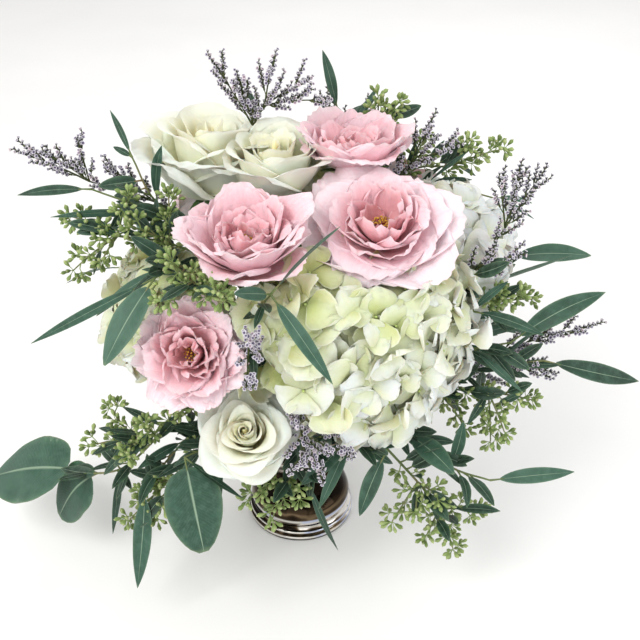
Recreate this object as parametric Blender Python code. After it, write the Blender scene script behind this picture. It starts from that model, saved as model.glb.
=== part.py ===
"""Round table centrepiece: garden roses, hydrangeas and eucalyptus in a footed silver bowl.

Metres, +Z up.  The origin is on the table, on the axis of the bowl's foot.
Front is -Y.  Every cut stem stands in its own socket in the floral foam, and every
flower or sprig is one closed solid from the cut end of its stem to its petals or leaves.
"""
import math

import bmesh
import bpy
from mathutils import Vector

# ---- driving dimensions -------------------------------------------------------------
FOOT_RADIUS = 0.0525        # widest part of the foot, on the table
FOOT_HEIGHT = 0.0765        # table to the joint under the bowl
NECK_RADIUS = 0.0135
RIM_RADIUS = 0.0805         # rolled rim of the bowl
RIM_HEIGHT = 0.1590
WALL = 0.0015               # spun sheet metal
SEAT_GAP = 0.0003           # between pieces that touch
FOAM_TOP = 0.1880           # crown of the foam, above the rim
FOAM_RADIUS = 0.0680        # foam where it leaves the bowl
FOAM_SHOULDER = 0.1700      # height of the foam's side above the rim
STEM_FOCUS = Vector((0.0, 0.0, 0.125))   # all stems point away from here inside the foam
STEM_DEPTH = 0.028          # length of stem inside the foam
STEM_LEAD = 0.010           # straight stretch of stem above the foam
SOCKET_SLACK = 0.0004       # clearance round a stem in its socket
ROSE_STEM = 0.0026          # stem radii
HYDRANGEA_STEM = 0.0035
SPRIG_STEM = 0.0014
LEAF_THICKNESS = 0.0010
TURNED_SEGMENTS = 40
HEAD_SIDES = 10
STEM_SIDES = 5

# ---- finishes: base colour, roughness, metallic --------------------------------------
FINISHES = {
    "polished_nickel": ((0.62, 0.60, 0.58), 0.08, 1.0),
    "wet_foam": ((0.05, 0.16, 0.07), 0.95, 0.0),
    "pink_petal": ((0.93, 0.58, 0.62), 0.60, 0.0),
    "ivory_petal": ((0.93, 0.92, 0.80), 0.60, 0.0),
    "hydrangea_petal": ((0.88, 0.91, 0.76), 0.65, 0.0),
    "eucalyptus_leaf": ((0.10, 0.25, 0.17), 0.55, 0.0),
    "seed_capsule": ((0.42, 0.55, 0.30), 0.60, 0.0),
    "limonium_flower": ((0.62, 0.60, 0.72), 0.75, 0.0),
}

# ---- flowers -------------------------------------------------------------------------
# name: finish, form, middle of the head, direction it opens, radius, depth,
#       socket azimuth in degrees (0 is the front, 90 is +X) and socket radius
FLOWERS = {
    "pink_rose_left": ("pink_petal", "rose", (-0.036, -0.077, 0.360),
                       (-0.06, -0.06, 1.00), 0.049, 0.042, -35, 0.030),
    "pink_rose_large": ("pink_petal", "rose", (0.068, -0.057, 0.362),
                        (-0.06, -0.24, 0.97), 0.056, 0.042, 50, 0.028),
    "pink_rose_top": ("pink_petal", "rose", (0.048, 0.035, 0.384),
                      (0.03, 0.04, 1.00), 0.041, 0.040, 90, 0.014),
    "pink_rose_low": ("pink_petal", "rose", (-0.080, -0.118, 0.281),
                      (-0.12, -0.80, 0.58), 0.044, 0.040, -42, 0.052),
    "pink_rose_back_left": ("pink_petal", "rose", (-0.080, 0.118, 0.290),
                            (-0.45, 0.78, 0.40), 0.048, 0.042, -145, 0.050),
    "pink_rose_back_right": ("pink_petal", "rose", (0.085, 0.112, 0.300),
                             (0.50, 0.70, 0.48), 0.046, 0.042, 150, 0.036),
    "white_rose_top_left": ("ivory_petal", "rose", (-0.083, 0.047, 0.360),
                            (0.12, 0.16, 0.98), 0.047, 0.048, -125, 0.027),
    "white_rose_top": ("ivory_petal", "rose", (-0.017, 0.018, 0.376),
                       (0.05, 0.16, 0.98), 0.032, 0.042, 0, 0.014),
    "white_rose_front": ("ivory_petal", "rose", (-0.040, -0.127, 0.206),
                         (0.00, -0.64, 0.77), 0.034, 0.042, -19, 0.061),
    "white_rose_back": ("ivory_petal", "rose", (0.010, 0.138, 0.262),
                        (0.05, 0.88, 0.46), 0.040, 0.044, 180, 0.056),
    "white_rose_back_low": ("ivory_petal", "rose", (-0.118, 0.070, 0.215),
                            (-0.72, 0.52, 0.45), 0.038, 0.044, -120, 0.060),
    "hydrangea_front": ("hydrangea_petal", "cap", (0.063, -0.101, 0.261),
                        (0.45, -0.88, 0.12), 0.079, 0.056, 27, 0.050),
    "hydrangea_right": ("hydrangea_petal", "cap", (0.144, 0.018, 0.304),
                        (0.76, 0.02, 0.65), 0.054, 0.048, 98, 0.032),
    "hydrangea_left": ("hydrangea_petal", "cap", (-0.124, -0.022, 0.257),
                       (-0.98, -0.17, 0.10), 0.056, 0.048, -78, 0.050),
    "hydrangea_top": ("hydrangea_petal", "cap", (0.000, 0.086, 0.336),
                      (0.00, 0.70, 0.71), 0.044, 0.044, 175, 0.026),
    "hydrangea_back_low": ("hydrangea_petal", "cap", (0.104, 0.086, 0.203),
                           (0.70, 0.66, 0.26), 0.050, 0.048, 128, 0.060),
}

# ---- sprigs --------------------------------------------------------------------------
# name: finish, socket azimuth and radius, points that the stem passes, then its end
#       leaf and side shoots as (index of the point it leaves, tip, width)
# A leaf is flat; the seed clusters and flower sprays are round.
SPRIGS = {
    "eucalyptus_top": ("eucalyptus_leaf", 138, 0.026, (
        (0.047, 0.086, 0.325), (0.046, 0.094, 0.366), (0.036, 0.086, 0.392)), (
        (2, (0.022, 0.074, 0.452), 0.016), (1, (0.072, 0.104, 0.410), 0.010))),
    "eucalyptus_right_high": ("eucalyptus_leaf", 84, 0.060, (
        (0.120, 0.022, 0.222), (0.174, 0.040, 0.242), (0.192, 0.044, 0.269)), (
        (2, (0.263, 0.030, 0.279), 0.026), (1, (0.237, -0.002, 0.299), 0.004))),
    "eucalyptus_right_front": ("eucalyptus_leaf", 72, 0.046, (
        (0.110, -0.038, 0.252), (0.145, -0.056, 0.278)), (
        (1, (0.202, -0.080, 0.270), 0.015), (1, (0.174, -0.048, 0.302), 0.010))),
    "eucalyptus_right_mid": ("eucalyptus_leaf", 66, 0.062, (
        (0.115, -0.032, 0.215), (0.152, -0.046, 0.232), (0.182, -0.050, 0.241)), (
        (2, (0.258, -0.040, 0.286), 0.027), (1, (0.190, -0.085, 0.215), 0.013))),
    "eucalyptus_right_low": ("eucalyptus_leaf", 79, 0.066, (
        (0.120, -0.030, 0.188), (0.170, -0.046, 0.212), (0.213, -0.050, 0.222)), (
        (2, (0.305, -0.036, 0.188), 0.027), (1, (0.225, -0.015, 0.240), 0.008))),
    "eucalyptus_low_right": ("eucalyptus_leaf", 50, 0.067, (
        (0.096, -0.082, 0.166), (0.132, -0.106, 0.150), (0.166, -0.112, 0.140)), (
        (2, (0.237, -0.112, 0.150), 0.020), (0, (0.130, -0.138, 0.172), 0.025),
        (1, (0.140, -0.100, 0.196), 0.015))),
    "eucalyptus_low_front": ("eucalyptus_leaf", 25, 0.067, (
        (0.046, -0.098, 0.176), (0.074, -0.120, 0.178)), (
        (1, (0.053, -0.146, 0.132), 0.020), (0, (0.004, -0.126, 0.148), 0.020),
        (0, (0.019, -0.136, 0.130), 0.016))),
    "eucalyptus_over_foot": ("eucalyptus_leaf", 8, 0.067, (
        (0.012, -0.096, 0.164), (0.010, -0.112, 0.138)), (
        (1, (0.036, -0.128, 0.070), 0.012), (0, (-0.012, -0.118, 0.128), 0.012))),
    "eucalyptus_round_left": ("eucalyptus_leaf", -72, 0.067, (
        (-0.100, -0.055, 0.172), (-0.142, -0.075, 0.134), (-0.160, -0.075, 0.118),
        (-0.183, -0.070, 0.108), (-0.203, -0.062, 0.105)), (
        (4, (-0.300, -0.020, 0.056), 0.070), (3, (-0.229, -0.062, 0.044), 0.052),
        (2, (-0.172, -0.092, 0.052), 0.009))),
    "eucalyptus_low_left": ("eucalyptus_leaf", -34, 0.067, (
        (-0.066, -0.096, 0.172), (-0.092, -0.124, 0.178)), (
        (1, (-0.077, -0.162, 0.106), 0.048), (1, (-0.044, -0.140, 0.146), 0.010),
        (0, (-0.066, -0.136, 0.124), 0.010))),
    "eucalyptus_hanging_left": ("eucalyptus_leaf", -52, 0.067, (
        (-0.098, -0.084, 0.160), (-0.130, -0.116, 0.136)), (
        (1, (-0.141, -0.150, 0.046), 0.026), (0, (-0.134, -0.120, 0.160), 0.010))),
    "eucalyptus_left_mid": ("eucalyptus_leaf", -62, 0.034, (
        (-0.072, -0.052, 0.300), (-0.092, -0.072, 0.332), (-0.106, -0.094, 0.334)), (
        (2, (-0.142, -0.140, 0.286), 0.030), (1, (-0.152, -0.104, 0.306), 0.014),
        (2, (-0.208, -0.100, 0.277), 0.010), (1, (-0.124, -0.077, 0.361), 0.016))),
    "eucalyptus_left_high": ("eucalyptus_leaf", -88, 0.032, (
        (-0.080, -0.016, 0.318), (-0.112, -0.014, 0.345), (-0.168, 0.000, 0.361)), (
        (2, (-0.237, 0.020, 0.345), 0.008), (1, (-0.160, 0.010, 0.332), 0.014),
        (1, (-0.200, -0.020, 0.346), 0.005))),
    "eucalyptus_top_left": ("eucalyptus_leaf", -104, 0.043, (
        (-0.070, 0.008, 0.300), (-0.116, 0.004, 0.346), (-0.134, 0.012, 0.384)), (
        (2, (-0.153, 0.038, 0.414), 0.008), (1, (-0.106, -0.004, 0.402), 0.015),
        (2, (-0.151, 0.024, 0.388), 0.008))),
    "eucalyptus_over_front": ("eucalyptus_leaf", -8, 0.036, (
        (-0.016, -0.066, 0.275), (-0.024, -0.104, 0.314), (-0.016, -0.128, 0.342)), (
        (2, (0.029, -0.180, 0.300), 0.018), (2, (0.034, -0.134, 0.402), 0.009),
        (2, (-0.040, -0.152, 0.358), 0.015))),
    "eucalyptus_top_right": ("eucalyptus_leaf", 117, 0.040, (
        (0.078, 0.058, 0.297), (0.115, 0.062, 0.335), (0.176, 0.058, 0.322)), (
        (2, (0.210, 0.056, 0.318), 0.008), (1, (0.146, 0.050, 0.370), 0.008),
        (2, (0.211, 0.045, 0.308), 0.008))),
    "eucalyptus_back_left": ("eucalyptus_leaf", -130, 0.067, (
        (-0.110, 0.110, 0.190), (-0.155, 0.135, 0.200), (-0.185, 0.145, 0.195)), (
        (2, (-0.252, 0.160, 0.165), 0.024), (1, (-0.190, 0.100, 0.160), 0.020),
        (1, (-0.170, 0.155, 0.255), 0.016))),
    "eucalyptus_back": ("eucalyptus_leaf", -163, 0.046, (
        (-0.036, 0.100, 0.290), (-0.050, 0.130, 0.330), (-0.060, 0.150, 0.345)), (
        (2, (-0.080, 0.180, 0.310), 0.020), (1, (-0.020, 0.164, 0.340), 0.014))),
    "eucalyptus_back_right": ("eucalyptus_leaf", 110, 0.067, (
        (0.130, 0.060, 0.158), (0.175, 0.085, 0.150), (0.200, 0.095, 0.150)), (
        (2, (0.262, 0.125, 0.130), 0.022), (1, (0.215, 0.055, 0.185), 0.018))),
    "eucalyptus_back_low": ("eucalyptus_leaf", 168, 0.067, (
        (0.024, 0.108, 0.170), (0.034, 0.135, 0.160)), (
        (1, (0.048, 0.180, 0.095), 0.036), (0, (-0.010, 0.150, 0.130), 0.020),
        (1, (0.075, 0.180, 0.160), 0.018))),
    "seeded_left_high": ("seed_capsule", -76, 0.038, (
        (-0.066, -0.030, 0.300), (-0.102, -0.032, 0.328), (-0.145, -0.030, 0.334)), (
        (2, (-0.190, -0.006, 0.340), 0.020), (2, (-0.132, -0.022, 0.370), 0.016),
        (2, (-0.184, -0.046, 0.308), 0.020), (2, (-0.156, -0.052, 0.322), 0.018),
        (1, (-0.101, -0.022, 0.370), 0.016), (1, (-0.132, -0.044, 0.352), 0.018))),
    "seeded_left_mid": ("seed_capsule", -50, 0.040, (
        (-0.060, -0.070, 0.310), (-0.072, -0.104, 0.333)), (
        (1, (-0.100, -0.118, 0.328), 0.020), (1, (-0.048, -0.142, 0.346), 0.020),
        (1, (-0.096, -0.096, 0.354), 0.016))),
    "seeded_low_left": ("seed_capsule", -63, 0.064, (
        (-0.092, -0.068, 0.182), (-0.122, -0.092, 0.176), (-0.140, -0.092, 0.168)), (
        (2, (-0.184, -0.086, 0.156), 0.022), (2, (-0.160, -0.082, 0.198), 0.020),
        (1, (-0.124, -0.116, 0.206), 0.020), (2, (-0.140, -0.124, 0.178), 0.018),
        (0, (-0.104, -0.100, 0.212), 0.016))),
    "seeded_hanging_left": ("seed_capsule", -43, 0.067, (
        (-0.084, -0.092, 0.158), (-0.108, -0.106, 0.136)), (
        (1, (-0.152, -0.116, 0.090), 0.020), (1, (-0.122, -0.128, 0.106), 0.020),
        (1, (-0.138, -0.110, 0.124), 0.016))),
    "seeded_over_foot": ("seed_capsule", -4, 0.067, (
        (-0.004, -0.094, 0.164), (-0.008, -0.112, 0.146)), (
        (1, (-0.044, -0.132, 0.134), 0.018), (1, (-0.022, -0.136, 0.112), 0.020),
        (1, (0.004, -0.134, 0.138), 0.014))),
    "seeded_low_right": ("seed_capsule", 38, 0.067, (
        (0.072, -0.094, 0.168), (0.104, -0.112, 0.138), (0.124, -0.118, 0.112)), (
        (2, (0.140, -0.124, 0.062), 0.022), (1, (0.080, -0.132, 0.106), 0.022),
        (2, (0.164, -0.114, 0.106), 0.018), (1, (0.101, -0.136, 0.124), 0.018),
        (1, (0.128, -0.132, 0.134), 0.018), (2, (0.112, -0.130, 0.088), 0.016))),
    "seeded_right": ("seed_capsule", 72, 0.066, (
        (0.125, -0.048, 0.190), (0.165, -0.066, 0.200)), (
        (1, (0.206, -0.068, 0.192), 0.022), (1, (0.180, -0.090, 0.170), 0.020),
        (0, (0.150, -0.074, 0.160), 0.018), (1, (0.170, -0.080, 0.150), 0.018))),
    "seeded_right_high": ("seed_capsule", 84, 0.044, (
        (0.120, -0.020, 0.232), (0.155, -0.024, 0.262)), (
        (1, (0.206, -0.020, 0.266), 0.020), (1, (0.170, -0.046, 0.288), 0.018),
        (1, (0.192, -0.036, 0.282), 0.016))),
    "seeded_top": ("seed_capsule", 148, 0.014, (
        (0.060, 0.086, 0.340), (0.072, 0.092, 0.376)), (
        (1, (0.070, 0.082, 0.410), 0.016), (1, (0.090, 0.082, 0.404), 0.014))),
    "seeded_top_right": ("seed_capsule", 131, 0.042, (
        (0.090, 0.078, 0.325), (0.140, 0.076, 0.346)), (
        (1, (0.184, 0.064, 0.368), 0.024), (1, (0.152, 0.070, 0.374), 0.014),
        (0, (0.118, 0.096, 0.366), 0.016))),
    "seeded_back_left": ("seed_capsule", -140, 0.066, (
        (-0.080, 0.098, 0.190), (-0.106, 0.140, 0.200)), (
        (1, (-0.130, 0.176, 0.172), 0.022), (1, (-0.090, 0.182, 0.200), 0.020))),
    "seeded_back_right": ("seed_capsule", 146, 0.066, (
        (0.060, 0.098, 0.170), (0.090, 0.130, 0.150)), (
        (1, (0.118, 0.164, 0.120), 0.022), (1, (0.080, 0.160, 0.110), 0.020))),
    "limonium_top": ("limonium_flower", -145, 0.014, (
        (-0.035, 0.047, 0.335), (-0.036, 0.056, 0.390), (-0.026, 0.048, 0.414)), (
        (1, (-0.070, 0.044, 0.458), 0.012), (2, (-0.020, 0.042, 0.446), 0.014),
        (2, (0.012, 0.050, 0.436), 0.014), (2, (0.028, 0.044, 0.420), 0.012),
        (1, (-0.048, 0.044, 0.444), 0.010))),
    "limonium_left": ("limonium_flower", -119, 0.043, (
        (-0.088, 0.048, 0.290), (-0.126, 0.038, 0.330), (-0.175, 0.024, 0.356)), (
        (2, (-0.234, 0.024, 0.384), 0.012), (2, (-0.179, 0.022, 0.396), 0.010),
        (2, (-0.209, 0.020, 0.386), 0.010), (1, (-0.158, 0.014, 0.376), 0.012))),
    "limonium_top_right": ("limonium_flower", 74, 0.025, (
        (0.059, 0.028, 0.320), (0.098, 0.046, 0.362)), (
        (1, (0.112, 0.058, 0.390), 0.014), (1, (0.140, 0.052, 0.376), 0.012))),
    "limonium_right": ("limonium_flower", 78, 0.054, (
        (0.104, -0.028, 0.258), (0.142, -0.046, 0.306), (0.172, -0.020, 0.336)), (
        (2, (0.209, 0.020, 0.370), 0.012), (2, (0.187, 0.018, 0.376), 0.010),
        (2, (0.166, 0.000, 0.372), 0.012), (1, (0.186, -0.040, 0.322), 0.012))),
    "limonium_right_low": ("limonium_flower", 90, 0.066, (
        (0.126, -0.006, 0.192), (0.176, -0.018, 0.206)), (
        (1, (0.264, -0.030, 0.246), 0.012), (1, (0.232, -0.030, 0.190), 0.012),
        (0, (0.190, -0.020, 0.170), 0.012), (1, (0.210, -0.052, 0.206), 0.012))),
    "limonium_front": ("limonium_flower", -26, 0.044, (
        (-0.030, -0.080, 0.262), (-0.034, -0.126, 0.292)), (
        (1, (-0.026, -0.160, 0.326), 0.012), (1, (-0.034, -0.160, 0.280), 0.012))),
    "limonium_low_front": ("limonium_flower", 3, 0.060, (
        (-0.002, -0.092, 0.196), (0.006, -0.126, 0.204)), (
        (1, (0.004, -0.144, 0.184), 0.012), (1, (0.002, -0.144, 0.236), 0.012),
        (1, (0.022, -0.146, 0.184), 0.012), (1, (0.046, -0.146, 0.196), 0.012))),
    "limonium_back": ("limonium_flower", 160, 0.046, (
        (0.040, 0.110, 0.300), (0.044, 0.140, 0.335)), (
        (1, (0.020, 0.165, 0.375), 0.014), (1, (0.070, 0.165, 0.360), 0.014))),
}


# ---- helpers -------------------------------------------------------------------------
def clear_scene():
    for thing in list(bpy.data.objects):
        bpy.data.objects.remove(thing, do_unlink=True)


def make_material(name):
    colour, roughness, metallic = FINISHES[name]
    material = bpy.data.materials.new(name)
    material.use_nodes = True
    shader = material.node_tree.nodes["Principled BSDF"]
    shader.inputs["Base Color"].default_value = (*colour, 1.0)
    shader.inputs["Roughness"].default_value = roughness
    shader.inputs["Metallic"].default_value = metallic
    return material


def add_object(name, bm, material=None):
    """Turn a bmesh into a named object with outward faces."""
    bmesh.ops.recalc_face_normals(bm, faces=bm.faces[:])
    mesh = bpy.data.meshes.new(name)
    bm.to_mesh(mesh)
    bm.free()
    thing = bpy.data.objects.new(name, mesh)
    bpy.context.scene.collection.objects.link(thing)
    if material:
        mesh.materials.append(material)
    return thing


def on_circle(azimuth, radius, height):
    """Point at an azimuth measured from the front towards +X."""
    angle = math.radians(azimuth)
    return Vector((radius * math.sin(angle), -radius * math.cos(angle), height))


def turned(name, profile, material):
    """Solid of revolution; a profile point on the axis closes its end."""
    bm = bmesh.new()
    rings = []
    for radius, height in profile:
        if radius == 0.0:
            rings.append([bm.verts.new((0.0, 0.0, height))])
        else:
            rings.append([
                bm.verts.new(on_circle(360.0 * k / TURNED_SEGMENTS, radius, height))
                for k in range(TURNED_SEGMENTS)
            ])
    closed = len(rings[0]) > 1
    following = rings[1:] + rings[:1] if closed else rings[1:]
    for lower, upper in zip(rings, following):
        bridge(bm, lower, upper)
    thing = add_object(name, bm, material)
    thing.data.shade_smooth()
    thing.data.set_sharp_from_angle(angle=math.radians(40.0))
    return thing


def bridge(bm, lower, upper):
    """Faces between two rings; a ring of one point makes a fan."""
    count = max(len(lower), len(upper))
    for k in range(count):
        nxt = (k + 1) % count
        if len(lower) == 1:
            bm.faces.new((lower[0], upper[k], upper[nxt]))
        elif len(upper) == 1:
            bm.faces.new((lower[k], lower[nxt], upper[0]))
        else:
            bm.faces.new((lower[k], lower[nxt], upper[nxt], upper[k]))


def tangents(points):
    """Unit direction of travel at each point of a route."""
    count = len(points)
    result = []
    for k in range(count):
        before = points[max(k - 1, 0)]
        after = points[min(k + 1, count - 1)]
        result.append((after - before).normalized())
    return result


def side_axes(direction, hint):
    """Width and thickness directions square to a route; thickness follows the hint."""
    across = direction.cross(hint)
    if across.length < 1e-4:
        across = direction.cross(Vector((1.0, 0.0, 0.0)))
    across.normalize()
    return across, across.cross(direction).normalized()


def loft(bm, points, half_widths, half_depths, sides, hint):
    """Closed tube along points, with its own half width and half depth at each."""
    rings = []
    for point, direction, wide, deep in zip(points, tangents(points), half_widths, half_depths):
        across, normal = side_axes(direction, hint)
        ring = []
        for k in range(sides):
            angle = 2.0 * math.pi * k / sides
            offset = across * wide * math.cos(angle) + normal * deep * math.sin(angle)
            ring.append(bm.verts.new(point + offset))
        rings.append(ring)
    for lower, upper in zip(rings, rings[1:]):
        bridge(bm, lower, upper)
    bm.faces.new(rings[0])
    bm.faces.new(rings[-1])


def smooth_route(points, steps):
    """Catmull-Rom curve through the points, with some steps between each pair."""
    padded = [points[0] * 2 - points[1]] + list(points) + [points[-1] * 2 - points[-2]]
    route = []
    for k in range(1, len(padded) - 2):
        a, b, c, d = padded[k - 1:k + 3]
        for step in range(steps):
            t = step / steps
            route.append(0.5 * (b * 2 + (c - a) * t + (a * 2 - b * 5 + c * 4 - d) * t * t
                                + (b * 3 - a - c * 3 + d) * t * t * t))
    route.append(points[-1])
    return route


def join_solids(name, base, parts, material):
    """Boolean union of a base object and its parts, kept as plain mesh."""
    for part in parts:
        modifier = base.modifiers.new("join", "BOOLEAN")
        modifier.operation = "UNION"
        modifier.solver = "EXACT"
        modifier.object = part
    finish_modifiers(base)
    for part in parts:
        bpy.data.objects.remove(part, do_unlink=True)
    base.name = name
    base.data.materials.clear()
    base.data.materials.append(material)
    return base


def finish_modifiers(thing):
    """Replace an object's mesh with the evaluated one and drop its modifiers."""
    graph = bpy.context.evaluated_depsgraph_get()
    mesh = bpy.data.meshes.new_from_object(thing.evaluated_get(graph))
    thing.modifiers.clear()
    thing.data = mesh


# ---- the footed bowl -----------------------------------------------------------------
def make_foot(material):
    """Hollow bell-shaped foot with two rolled steps and a narrow neck."""
    outer = [
        (FOOT_RADIUS, 0.0), (FOOT_RADIUS + 0.0005, 0.0022), (FOOT_RADIUS - 0.0004, 0.0044),
        (FOOT_RADIUS - 0.0022, 0.0056), (FOOT_RADIUS - 0.0012, 0.0074),
        (FOOT_RADIUS - 0.0014, 0.0094), (FOOT_RADIUS - 0.0036, 0.0110),
        (0.0480, 0.0140), (0.0492, 0.0200), (0.0486, 0.0265), (0.0452, 0.0335),
        (0.0380, 0.0400), (0.0288, 0.0446), (0.0208, 0.0490), (0.0158, 0.0545),
        (NECK_RADIUS, 0.0610), (0.0146, 0.0680), (0.0186, 0.0730), (0.0240, FOOT_HEIGHT),
        (0.0, FOOT_HEIGHT),
    ]
    inner = [
        (0.0, 0.0440), (0.0180, 0.0432), (0.0300, 0.0412), (0.0400, 0.0352),
        (0.0462, 0.0265), (0.0470, 0.0130), (FOOT_RADIUS - 0.0045, 0.0),
    ]
    return turned("compote_foot", list(reversed(outer)) + list(reversed(inner)), material)


def bowl_inner_profile():
    """Inside of the bowl, from the middle of its floor up to the rim."""
    return [
        (0.0, 0.0830), (0.0200, 0.0832), (0.0390, 0.0842), (0.0566, 0.0944),
        (0.0684, 0.1094), (0.0754, 0.1286), (0.0776, 0.1500),
    ]


def make_bowl(material):
    """Spun bowl with a rolled rim, seated on the foot."""
    base = FOOT_HEIGHT + SEAT_GAP
    outer = [
        (0.0, base), (0.0240, base), (0.0400, 0.0824 - WALL), (0.0582, 0.0934 - WALL),
        (0.0702, 0.1086), (0.0771, 0.1284), (0.0792, 0.1500), (RIM_RADIUS - 0.0004, 0.1545),
        (RIM_RADIUS, 0.1570), (RIM_RADIUS - 0.0010, RIM_HEIGHT),
        (RIM_RADIUS - 0.0026, RIM_HEIGHT - 0.0010),
    ]
    return turned("compote_bowl", outer + list(reversed(bowl_inner_profile())), material)


# ---- floral foam with a socket for every stem -------------------------------------------
def foam_surface(radius):
    """Height of the foam's domed top at a distance from the axis."""
    shoulder = FOAM_TOP - FOAM_SHOULDER
    return FOAM_TOP - shoulder * min(radius / FOAM_RADIUS, 1.0) ** 2


def stem_line(azimuth, radius):
    """Cut end of a stem, the point where it leaves the foam, and its direction."""
    entry = on_circle(azimuth, radius, foam_surface(radius))
    direction = (entry - STEM_FOCUS).normalized()
    return entry - direction * STEM_DEPTH, entry, direction


def socket_cutter(bm, azimuth, radius, stem_radius):
    """Blind hole for one stem, a little wider and deeper than the stem."""
    end, entry, direction = stem_line(azimuth, radius)
    wide = (stem_radius + SOCKET_SLACK) / math.cos(math.pi / STEM_SIDES)
    points = [end - direction * SEAT_GAP, entry + direction * STEM_LEAD]
    loft(bm, points, [wide] * 2, [wide] * 2, STEM_SIDES, Vector((0.0, 0.0, 1.0)))


def make_foam(material):
    """Domed foam block that fills the bowl, cut by all the sockets at once."""
    gap = 0.0006
    profile = [(0.0, 0.0830 + gap)]
    for radius, height in bowl_inner_profile()[1:5]:
        profile.append((radius - gap, height + gap))
    profile += [(FOAM_RADIUS + 0.002, 0.1250), (FOAM_RADIUS + 0.002, 0.1560)]
    for share in (1.0, 0.9, 0.72, 0.5, 0.25):
        profile.append((FOAM_RADIUS * share, foam_surface(FOAM_RADIUS * share)))
    profile.append((0.0, FOAM_TOP))
    foam = turned("floral_foam", profile, material)
    bm = bmesh.new()
    for _, form, _, _, _, _, azimuth, radius in FLOWERS.values():
        socket_cutter(bm, azimuth, radius, HYDRANGEA_STEM if form == "cap" else ROSE_STEM)
    for _, azimuth, radius, _, _ in SPRIGS.values():
        socket_cutter(bm, azimuth, radius, SPRIG_STEM)
    cutter = add_object("sockets", bm)
    modifier = foam.modifiers.new("sockets", "BOOLEAN")
    modifier.operation = "DIFFERENCE"
    modifier.solver = "EXACT"
    modifier.object = cutter
    modifier.use_self = True
    finish_modifiers(foam)
    bpy.data.objects.remove(cutter, do_unlink=True)
    return foam


# ---- flowers ---------------------------------------------------------------------------
# Heads as (share of depth from the base, share of radius)
ROSE_PROFILE = ((0.0, 0.16), (0.08, 0.52), (0.30, 0.86), (0.60, 1.0), (0.86, 0.84), (1.0, 0.40))
CAP_PROFILE = ((-0.28, 0.14), (0.0, 0.94), (0.16, 1.0), (0.48, 0.88), (0.80, 0.56), (1.0, 0.16))


def make_flower(name, spec, material):
    """Stem from its socket, bending to the way the flower faces, then the head."""
    _, form, middle, facing, radius, depth, azimuth, socket_radius = spec
    facing = Vector(facing).normalized()
    profile = ROSE_PROFILE if form == "rose" else CAP_PROFILE
    stem = ROSE_STEM if form == "rose" else HYDRANGEA_STEM
    base = Vector(middle) - facing * depth * 0.5
    end, entry, direction = stem_line(azimuth, socket_radius)
    top_of_stem = base + facing * depth * profile[0][0] - facing * 0.004
    lead = entry + direction * STEM_LEAD
    reach = (top_of_stem - lead).length * 0.4
    points = [end, lead]
    for t in (0.33, 0.67, 1.0):
        s = 1.0 - t
        points.append(lead * s ** 3 + (lead + direction * reach) * 3 * s * s * t
                      + (top_of_stem - facing * reach) * 3 * s * t * t + top_of_stem * t ** 3)
    widths = [stem] * len(points)
    for share, wide in profile:
        points.append(base + facing * depth * share)
        widths.append(radius * wide)
    bm = bmesh.new()
    loft(bm, points, widths, widths, HEAD_SIDES, Vector((1.0, 0.2, 0.1)))
    return add_object(name, bm, material)


# ---- sprigs ----------------------------------------------------------------------------
LEAF_PROFILE = ((0.0, 0.10), (0.12, 0.20), (0.32, 0.84), (0.55, 1.0), (0.80, 0.66), (1.0, 0.06))
SPRAY_PROFILE = ((0.0, 0.14), (0.25, 0.45), (0.65, 1.0), (1.0, 0.30))
LEAF_FACE = Vector((0.0, -0.5, 0.86))      # way the upper side of a leaf looks, in front
LEAF_TURN = 0.098                          # behind here leaves look backwards instead
LEAF_ARCH = 0.06                           # rise of a leaf's middle over its length


def make_shoot(bm, start, tip, width, flat):
    """A leaf or a round spray from a point on the stem to its tip."""
    run = tip - start
    face = Vector((LEAF_FACE.x, math.copysign(LEAF_FACE.y, start.y - LEAF_TURN), LEAF_FACE.z))
    profile = LEAF_PROFILE if flat else SPRAY_PROFILE
    points = []
    for share, _ in profile:
        lift = face * run.length * LEAF_ARCH * math.sin(math.pi * share)
        points.append(start + run * share + lift)
    widths = [max(width * 0.5 * wide, SPRIG_STEM * 0.6) for _, wide in profile]
    depths = [LEAF_THICKNESS * 0.5] * len(widths) if flat else widths
    loft(bm, points, widths, depths, 4 if flat else 5, face)


def make_sprig(name, spec, material):
    """Stem from its socket through its points, with the shoots joined on."""
    finish, azimuth, socket_radius, waypoints, shoots = spec
    flat = finish == "eucalyptus_leaf"
    end, entry, direction = stem_line(azimuth, socket_radius)
    route = smooth_route([entry + direction * STEM_LEAD] + [Vector(p) for p in waypoints], 2)
    points = [end] + route
    bm = bmesh.new()
    widths = [SPRIG_STEM] * len(points)
    loft(bm, points, widths, widths, STEM_SIDES, Vector((0.0, 0.0, 1.0)))
    base = add_object(name + "_stem", bm)
    parts = []
    for index, tip, width in shoots:
        bm = bmesh.new()
        start = Vector(waypoints[index])
        back = (Vector(tip) - start).normalized() * SPRIG_STEM * 0.5
        make_shoot(bm, start - back, Vector(tip), width, flat)
        parts.append(add_object(name + "_shoot", bm))
    return join_solids(name, base, parts, material)


def main():
    clear_scene()
    materials = {name: make_material(name) for name in FINISHES}
    make_foot(materials["polished_nickel"])
    make_bowl(materials["polished_nickel"])
    make_foam(materials["wet_foam"])
    for name, spec in FLOWERS.items():
        make_flower(name, spec, materials[spec[0]])
    for name, spec in SPRIGS.items():
        make_sprig(name, spec, materials[spec[0]])


main()
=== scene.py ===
"""Looks of the table centrepiece: petals, leaves, seeds and the polished footed bowl.

Metres, +Z up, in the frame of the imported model.  Front is -Y.  Every flower and sprig
stands where the frame has it, and its petals, leaves and seeds are modelled here.  The
tables of flowers and sprigs are in millimetres and degrees.
"""
import math

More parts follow.
